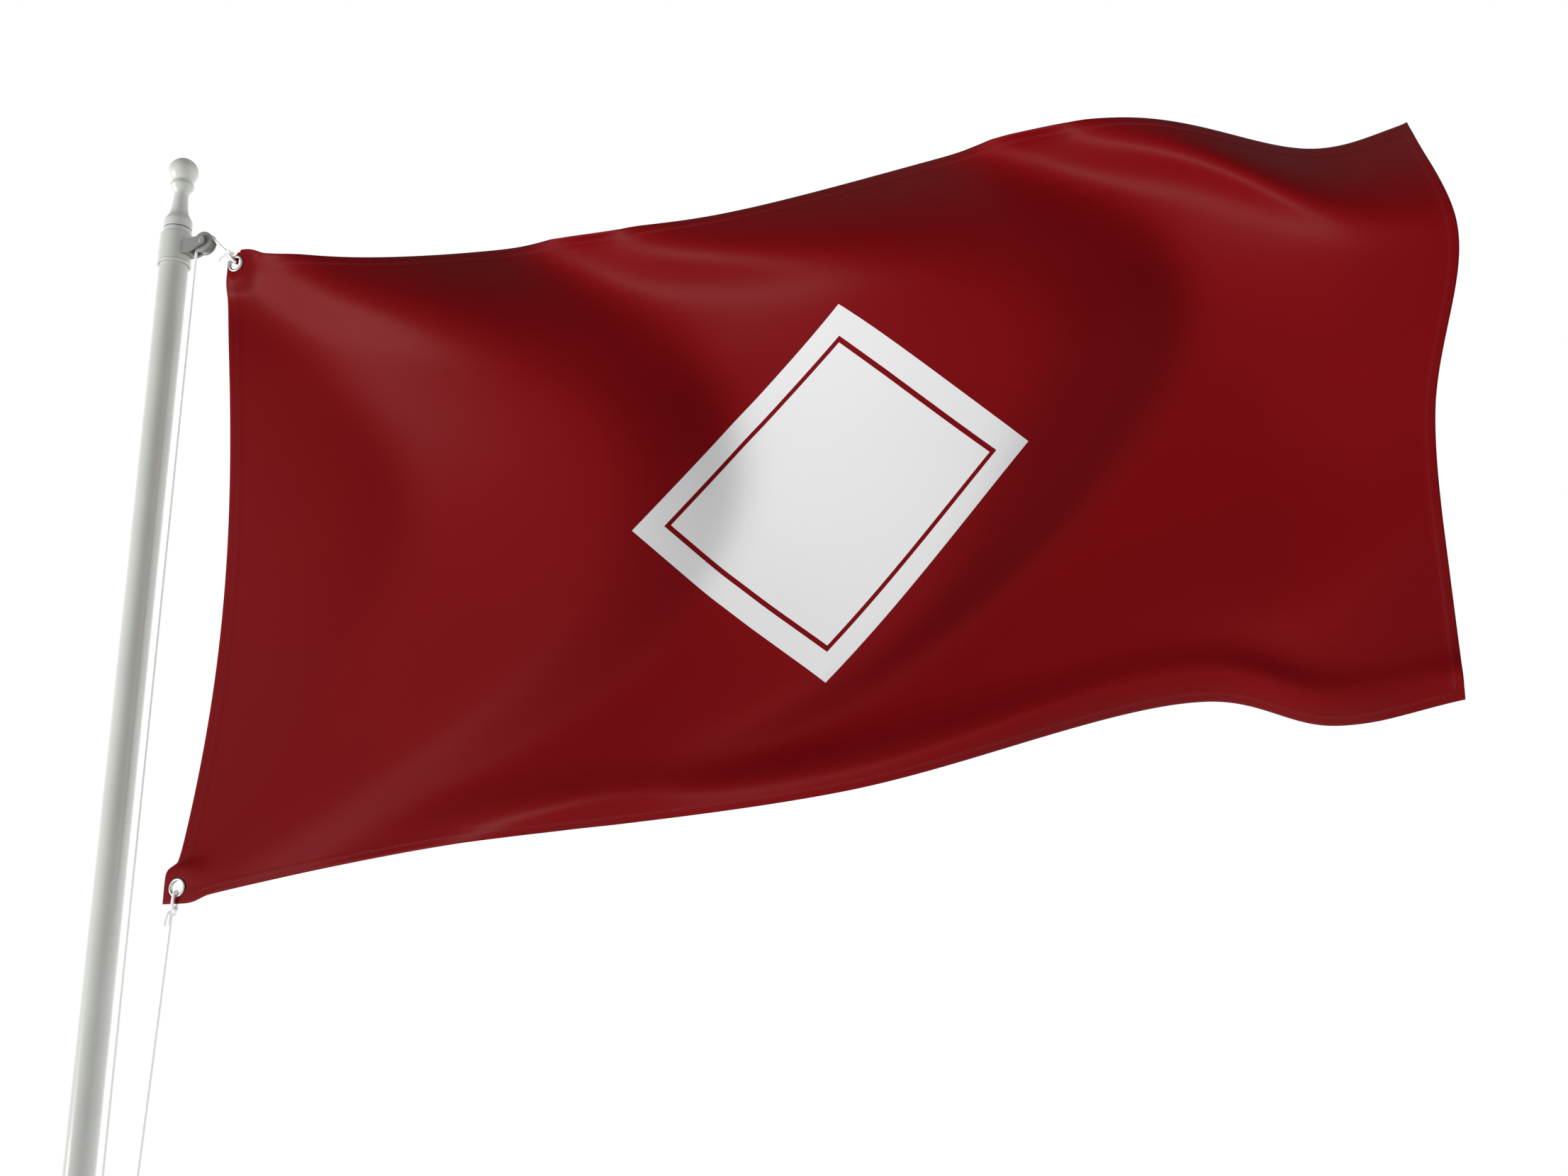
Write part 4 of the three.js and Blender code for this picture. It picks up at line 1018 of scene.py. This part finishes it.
def finial():
    opens = math.pi - math.asin(BALL_NECK / BALL)
    ball = [
        (BALL * math.sin(opens * (1 - i / 48)), BALL_HEIGHT + BALL * math.cos(opens * (1 - i / 48)))
        for i in range(48)
    ]
    stem = [
        (18.8, 13.5), (16.4, 17.5), (14.2, 21.5), (12.8, 26), (11.5, 34), (10.6, 43), (10.2, 52), (10.8, 56),
    ]
    vase = [(13.2, 60.5), (16.0, 64.5), (16.9, 67.2), (16.4, 70.0), (15.0, 73.0), (14.4, 75.2)]
    curve = [(p[0], p[2]) for p in spline([(r, 0, z) for r, z in stem + vase], 0.8)]
    foot = [(0, 0), (19.1, 0), (19.5, 0.4), (19.5, 11.2), (19.3, 12.4)]
    profile = foot + curve + ball[1:] + [(0, BALL_HEIGHT + BALL)]
    return lathe("finial_turned", profile, 128, at(0, 0, FINIAL_BASE * 1000))


def truck():
    profile = [
        (POLE_BORE, -56), (23.3, -56), (23.3, -52), (22.5, -51), (22.5, -9.5), (19.5, -7), (19.5, 0),
        (6.3, 0), (6.3, -14), (POLE_BORE, -14),
    ]
    body = lathe("truck_turned", eased(profile, 0.5), 128, at(0, 0, TOP))
    for side in (1, -1):
        combined(body, rod("truck_screw_hole", SCREW_CLEARANCE, 18, 26, truck_screw_place(side)))
    return soft_edges(body, 30)


def truck_screw_place(side):
    return at(0, 0, TOP - TRUCK_SCREWS_DOWN, Matrix.Rotation(math.pi * (1 + side / 4), 4, "Z") @ ALONG_X)


stands_for(finial(), "pole", "finial", "finial_spindle")
stands_for(truck(), "pole", "truck")
# A thin dark ring sits in the seam under the finial.
gasket = lathe("gasket_ring", eased(GASKET, 0.3), 96, at(0, 0, TOP))
stands_for(gasket, "rubber", "finial_gasket")
for side, name in ((1, "left"), (-1, "right")):
    place = truck_screw_place(side)
    grub = lathe("truck_grub_screw_" + name, GRUB, 40, place)
    combined(grub, prism("grub_socket", hexagon(3), 21.2, 23, place))
    stands_for(soft_edges(grub, 30), "steel", "truck_screw_" + name)

# ---- Pulley ----
FORK_IN, FORK_OUT, FORK_END, FORK_WEB = 8.35, 12.35, 7.5, 30.5
AXLE_BORE = 3.3
PIN = [
    (0, -12.35), (2.6, -12.35), (3, -12.0), (3, 12.65), (5.2, 12.65), (5.2, 13.4), (4.4, 14.4), (2.4, 14.65),
    (0, 14.65),
]
WHEEL = at(SHEAVE_X * 1000, 0, AXLE_Z * 1000, ALONG_Y)


def fork():
    """Two arms and a web in one piece, seated on the truck's sleeve."""
    axle = (SHEAVE_X * 1000, AXLE_Z * 1000)
    end = arc(axle, FORK_END, -math.pi / 2.6, math.pi / 2, 24)
    outline = [(14.5, TOP - 43), (FORK_WEB, TOP - 43)] + end + [(14.5, TOP - 24)]
    body = prism("fork_cast", outline, -FORK_OUT, FORK_OUT, Matrix.Rotation(math.pi / 2, 4, "X"))
    between = [(FORK_WEB, -FORK_IN), (75, -FORK_IN), (75, FORK_IN), (FORK_WEB, FORK_IN)]
    combined(body, prism("slot", between, TOP - 90, TOP, Matrix.Identity(4)))
    combined(body, rod("sleeve_seat", 22.8, TOP - 90, TOP, Matrix.Identity(4), 128))
    combined(body, rod("axle_bore", AXLE_BORE, -20, 20, WHEEL))
    return applied(bevelled(soft_edges(body, 30), 0.0007, 3, 40))


def sheave():
    half, rim = 6.75, 2.2
    turns = np.linspace(-1.57, 1.57, 17)
    groove = [(11 + 4.5 * (1 - math.cos(a)), (half - rim) * math.sin(a)) for a in turns]
    flange = [(5.3, -half), (14.5, -half), (15.2, -half + 0.3), (15.5, -half + 1.1), (15.2, -half + 1.9)]
    profile = flange + [tuple(p) for p in groove] + [(r, -z) for r, z in flange[::-1]]
    return lathe("sheave_turned", profile, 96, WHEEL)


def pulley_washer(side):
    low, high = (7.05, 8.05) if side > 0 else (-8.05, -7.05)
    profile = [(AXLE_BORE, low), (6.2, low), (6.2, high), (AXLE_BORE, high)]
    return lathe("thrust_washer", eased(profile, 0.2), 64, WHEEL)


stands_for(fork(), "fork", "pulley_fork")
stands_for(sheave(), "fork", "sheave")
BUSH = [(AXLE_BORE, -6.75), (5, -6.75), (5, 6.75), (AXLE_BORE, 6.75)]
bush = lathe("bush_turned", eased(BUSH, 0.2), 64, WHEEL)
stands_for(bush, "brass", "sheave_bush")
for side, name in ((-1, "front"), (1, "back")):
    piece = pulley_washer(side)
    piece.name = "thrust_washer_" + name
    stands_for(piece, "nylon", "sheave_washer_" + name)
stands_for(lathe("axle_pin", PIN, 64, WHEEL), "steel", "sheave_axle")

# ---- Cleat ----
CLEAT_MM, HORN_MM = CLEAT_Z * 1000, HORN_X * 1000
HORN_RADIUS, HORN_HALF = 6.5, 75
LEG_UP, CLEAT_SCREW_UP = 20, 33.8
LEG = [(0, 20.5), (8, 20.5), (8, 26), (7.2, 28.5), (6, 31.5), (5.5, 36), (5.5, 46), (6.2, 50), (0, 54)]
PAN_SCREW = [
    (0, 15.3), (1.5, 15.3), (2.5, 16.8), (2.5, 27.3), (4.2, 27.3), (4.2, 28.1), (3.7, 29.1), (2.4, 29.6),
    (0, 29.7),
]


def cleat():
    """Two horns on two waisted legs, with a long pad against the pole."""
    steps = 56
    horn = []
    for i in range(steps + 1):
        along = -math.cos(math.pi * i / steps)
        radius = HORN_RADIUS * math.sqrt(max(0, 1 - abs(along) ** 3)) if 0 < i < steps else 0
        horn.append((radius, HORN_HALF * along))
    body = lathe("cleat_cast", horn, 64, at(HORN_MM, 0, CLEAT_MM))
    for up in (1, -1):
        leg = lathe("leg", LEG, 64, at(0, 0, CLEAT_MM + LEG_UP * up, ALONG_X))
        combined(body, leg, "UNION")
    ends = arc((30, 0), 9, -math.pi / 2, math.pi / 2, 16)
    outline = ends + [(-x, -y) for x, y in ends]
    # The pad's outline lies across the pole: its x runs up the pole, and its y round it.
    pad = prism("pad", outline, 16, 27, at(0, 0, CLEAT_MM, ALONG_X))
    combined(body, applied(bevelled(pad, 0.001, 3)), "UNION")
    combined(body, rod("pole_seat", POLE_BORE, -60, 60, at(0, 0, CLEAT_MM), 128))
    for up in (1, -1):
        combined(body, rod("screw_hole", 2.8, 14, 30, at(0, 0, CLEAT_MM + CLEAT_SCREW_UP * up, ALONG_X)))
    return soft_edges(body, 35)


def pan_screw(name, z):
    """A pan-headed screw with a crossed slot."""
    place = at(0, 0, z, ALONG_X)
    screw = lathe(name, PAN_SCREW, 48, place)
    for wide, high in ((2.2, 0.45), (0.45, 2.2)):
        cross = [(-wide, -high), (wide, -high), (wide, high), (-wide, high)]
        combined(screw, prism("cross", cross, 28.5, 31, place))
    return soft_edges(screw, 30)


stands_for(cleat(), "pole", "cleat")
stands_for(pan_screw("cleat_pan_screw_upper", CLEAT_MM + CLEAT_SCREW_UP), "steel", "cleat_screw_upper")
stands_for(pan_screw("cleat_pan_screw_lower", CLEAT_MM - CLEAT_SCREW_UP), "steel", "cleat_screw_lower")

# ---- Grommets ----
EYELET_WASHER = [(9.9, 1.0), (12.2, 1.0), (12.2, 2.1), (9.9, 2.4)]
for name, z in (("upper", GROMMET_TOP), ("lower", GROMMET_BOTTOM)):
    place = at(GROMMET_X * 1000, 0, z * 1000, ALONG_Y)
    lip = [(12.2 - 1.85 * (1 - math.cos(a)), -1.15 - 1.25 * math.sin(a)) for a in np.linspace(0, math.pi, 13)]
    barrel = [(8.5, -0.9), (8.5, 1.6), (8.9, 2.3), (9.5, 2.4), (9.6, 2.0), (9.6, -0.9), (12.2, -0.9)]
    eyelet = lathe(name + "_eyelet", [(r, y) for r, y in lip] + barrel, 72, place)
    stands_for(eyelet, "steel", name + "_grommet")
    ring = lathe(name + "_eyelet_washer", eased(EYELET_WASHER, 0.4), 72, place)
    stands_for(ring, "steel", name + "_grommet_washer")
paint(stitches, "cloth")
stitches.data.materials[0] = THREAD

# ---- Stage ----
FLOOR_RADIUS, FLOOR_Z, FLOOR_SIDES = 4, -0.0005, 96
turns = [2 * math.pi * k / FLOOR_SIDES for k in range(FLOOR_SIDES)]
floor_rim = [(FLOOR_RADIUS * math.cos(a), FLOOR_RADIUS * math.sin(a), FLOOR_Z) for a in turns]
floor = mesh_of("floor", floor_rim, [tuple(range(FLOOR_SIDES))])
floor_nodes = Nodes("floor_pale")
floor_place = {"Vector": floor_nodes.place(), "Scale": 30, "Detail": 4}
floor_speckle = floor_nodes.add("TexNoise", floor_place).outputs["Fac"]
floor_tone = floor_nodes.blend(floor_speckle, srgb(247, 247, 246), srgb(240, 240, 239))
floor_nodes.set(Base_Color=floor_tone, Roughness=0.8, Emission_Color=(1, 1, 1, 1), Emission_Strength=0.35)
floor.data.materials.append(floor_nodes.material)


def studio():
    """White behind and beside the object, dimmer on the camera's side, and dark above."""
    world = bpy.data.worlds.new("studio")
    bpy.context.scene.world = world
    world.use_nodes = True
    tree = world.node_tree
    add = lambda kind: tree.nodes.new("ShaderNode" + kind)
    out, back = tree.nodes["World Output"], tree.nodes["Background"]
    place, parts = add("TexCoord"), add("SeparateXYZ")
    tree.links.new(place.outputs["Generated"], parts.inputs[0])

    def ramp(socket, low, high, first, last):
        node = add("MapRange")
        tree.links.new(socket, node.inputs["Value"])
        for key, value in (("From Min", low), ("From Max", high), ("To Min", first), ("To Max", last)):
            node.inputs[key].default_value = value
        node.interpolation_type = "SMOOTHSTEP"
        return node.outputs[0]

    behind = ramp(parts.outputs["Y"], -0.5, 0.5, 0.65, 1.45)
    above = ramp(parts.outputs["Z"], 0.15, 0.85, 1.0, 0.2)
    level = add("Math")
    level.operation = "MULTIPLY"
    tree.links.new(behind, level.inputs[0])
    tree.links.new(above, level.inputs[1])
    tree.links.new(level.outputs[0], back.inputs["Strength"])
    back.inputs["Color"].default_value = (1, 1, 1, 1)
    seen, white, mix = add("LightPath"), add("Background"), add("MixShader")
    tree.links.new(seen.outputs["Is Camera Ray"], mix.inputs[0])
    tree.links.new(back.outputs[0], mix.inputs[1])
    tree.links.new(white.outputs[0], mix.inputs[2])
    white.inputs["Color"].default_value = (1, 1, 1, 1)
    tree.links.new(mix.outputs[0], out.inputs["Surface"])


studio()


def soft_sun(name, towards, strength, spread):
    """Light from very far off, so it is as strong at both ends of the flag."""
    data = bpy.data.lights.new(name, "SUN")
    data.energy = strength
    data.angle = math.radians(spread)
    light = bpy.data.objects.new(name, data)
    bpy.context.scene.collection.objects.link(light)
    light.rotation_euler = Vector(towards).to_track_quat("-Z", "Y").to_euler()
    return light


soft_sun("key", (0.85, 0.75, 0.30), 3.2, 30)

bpy.context.scene.view_settings.view_transform = "Standard"
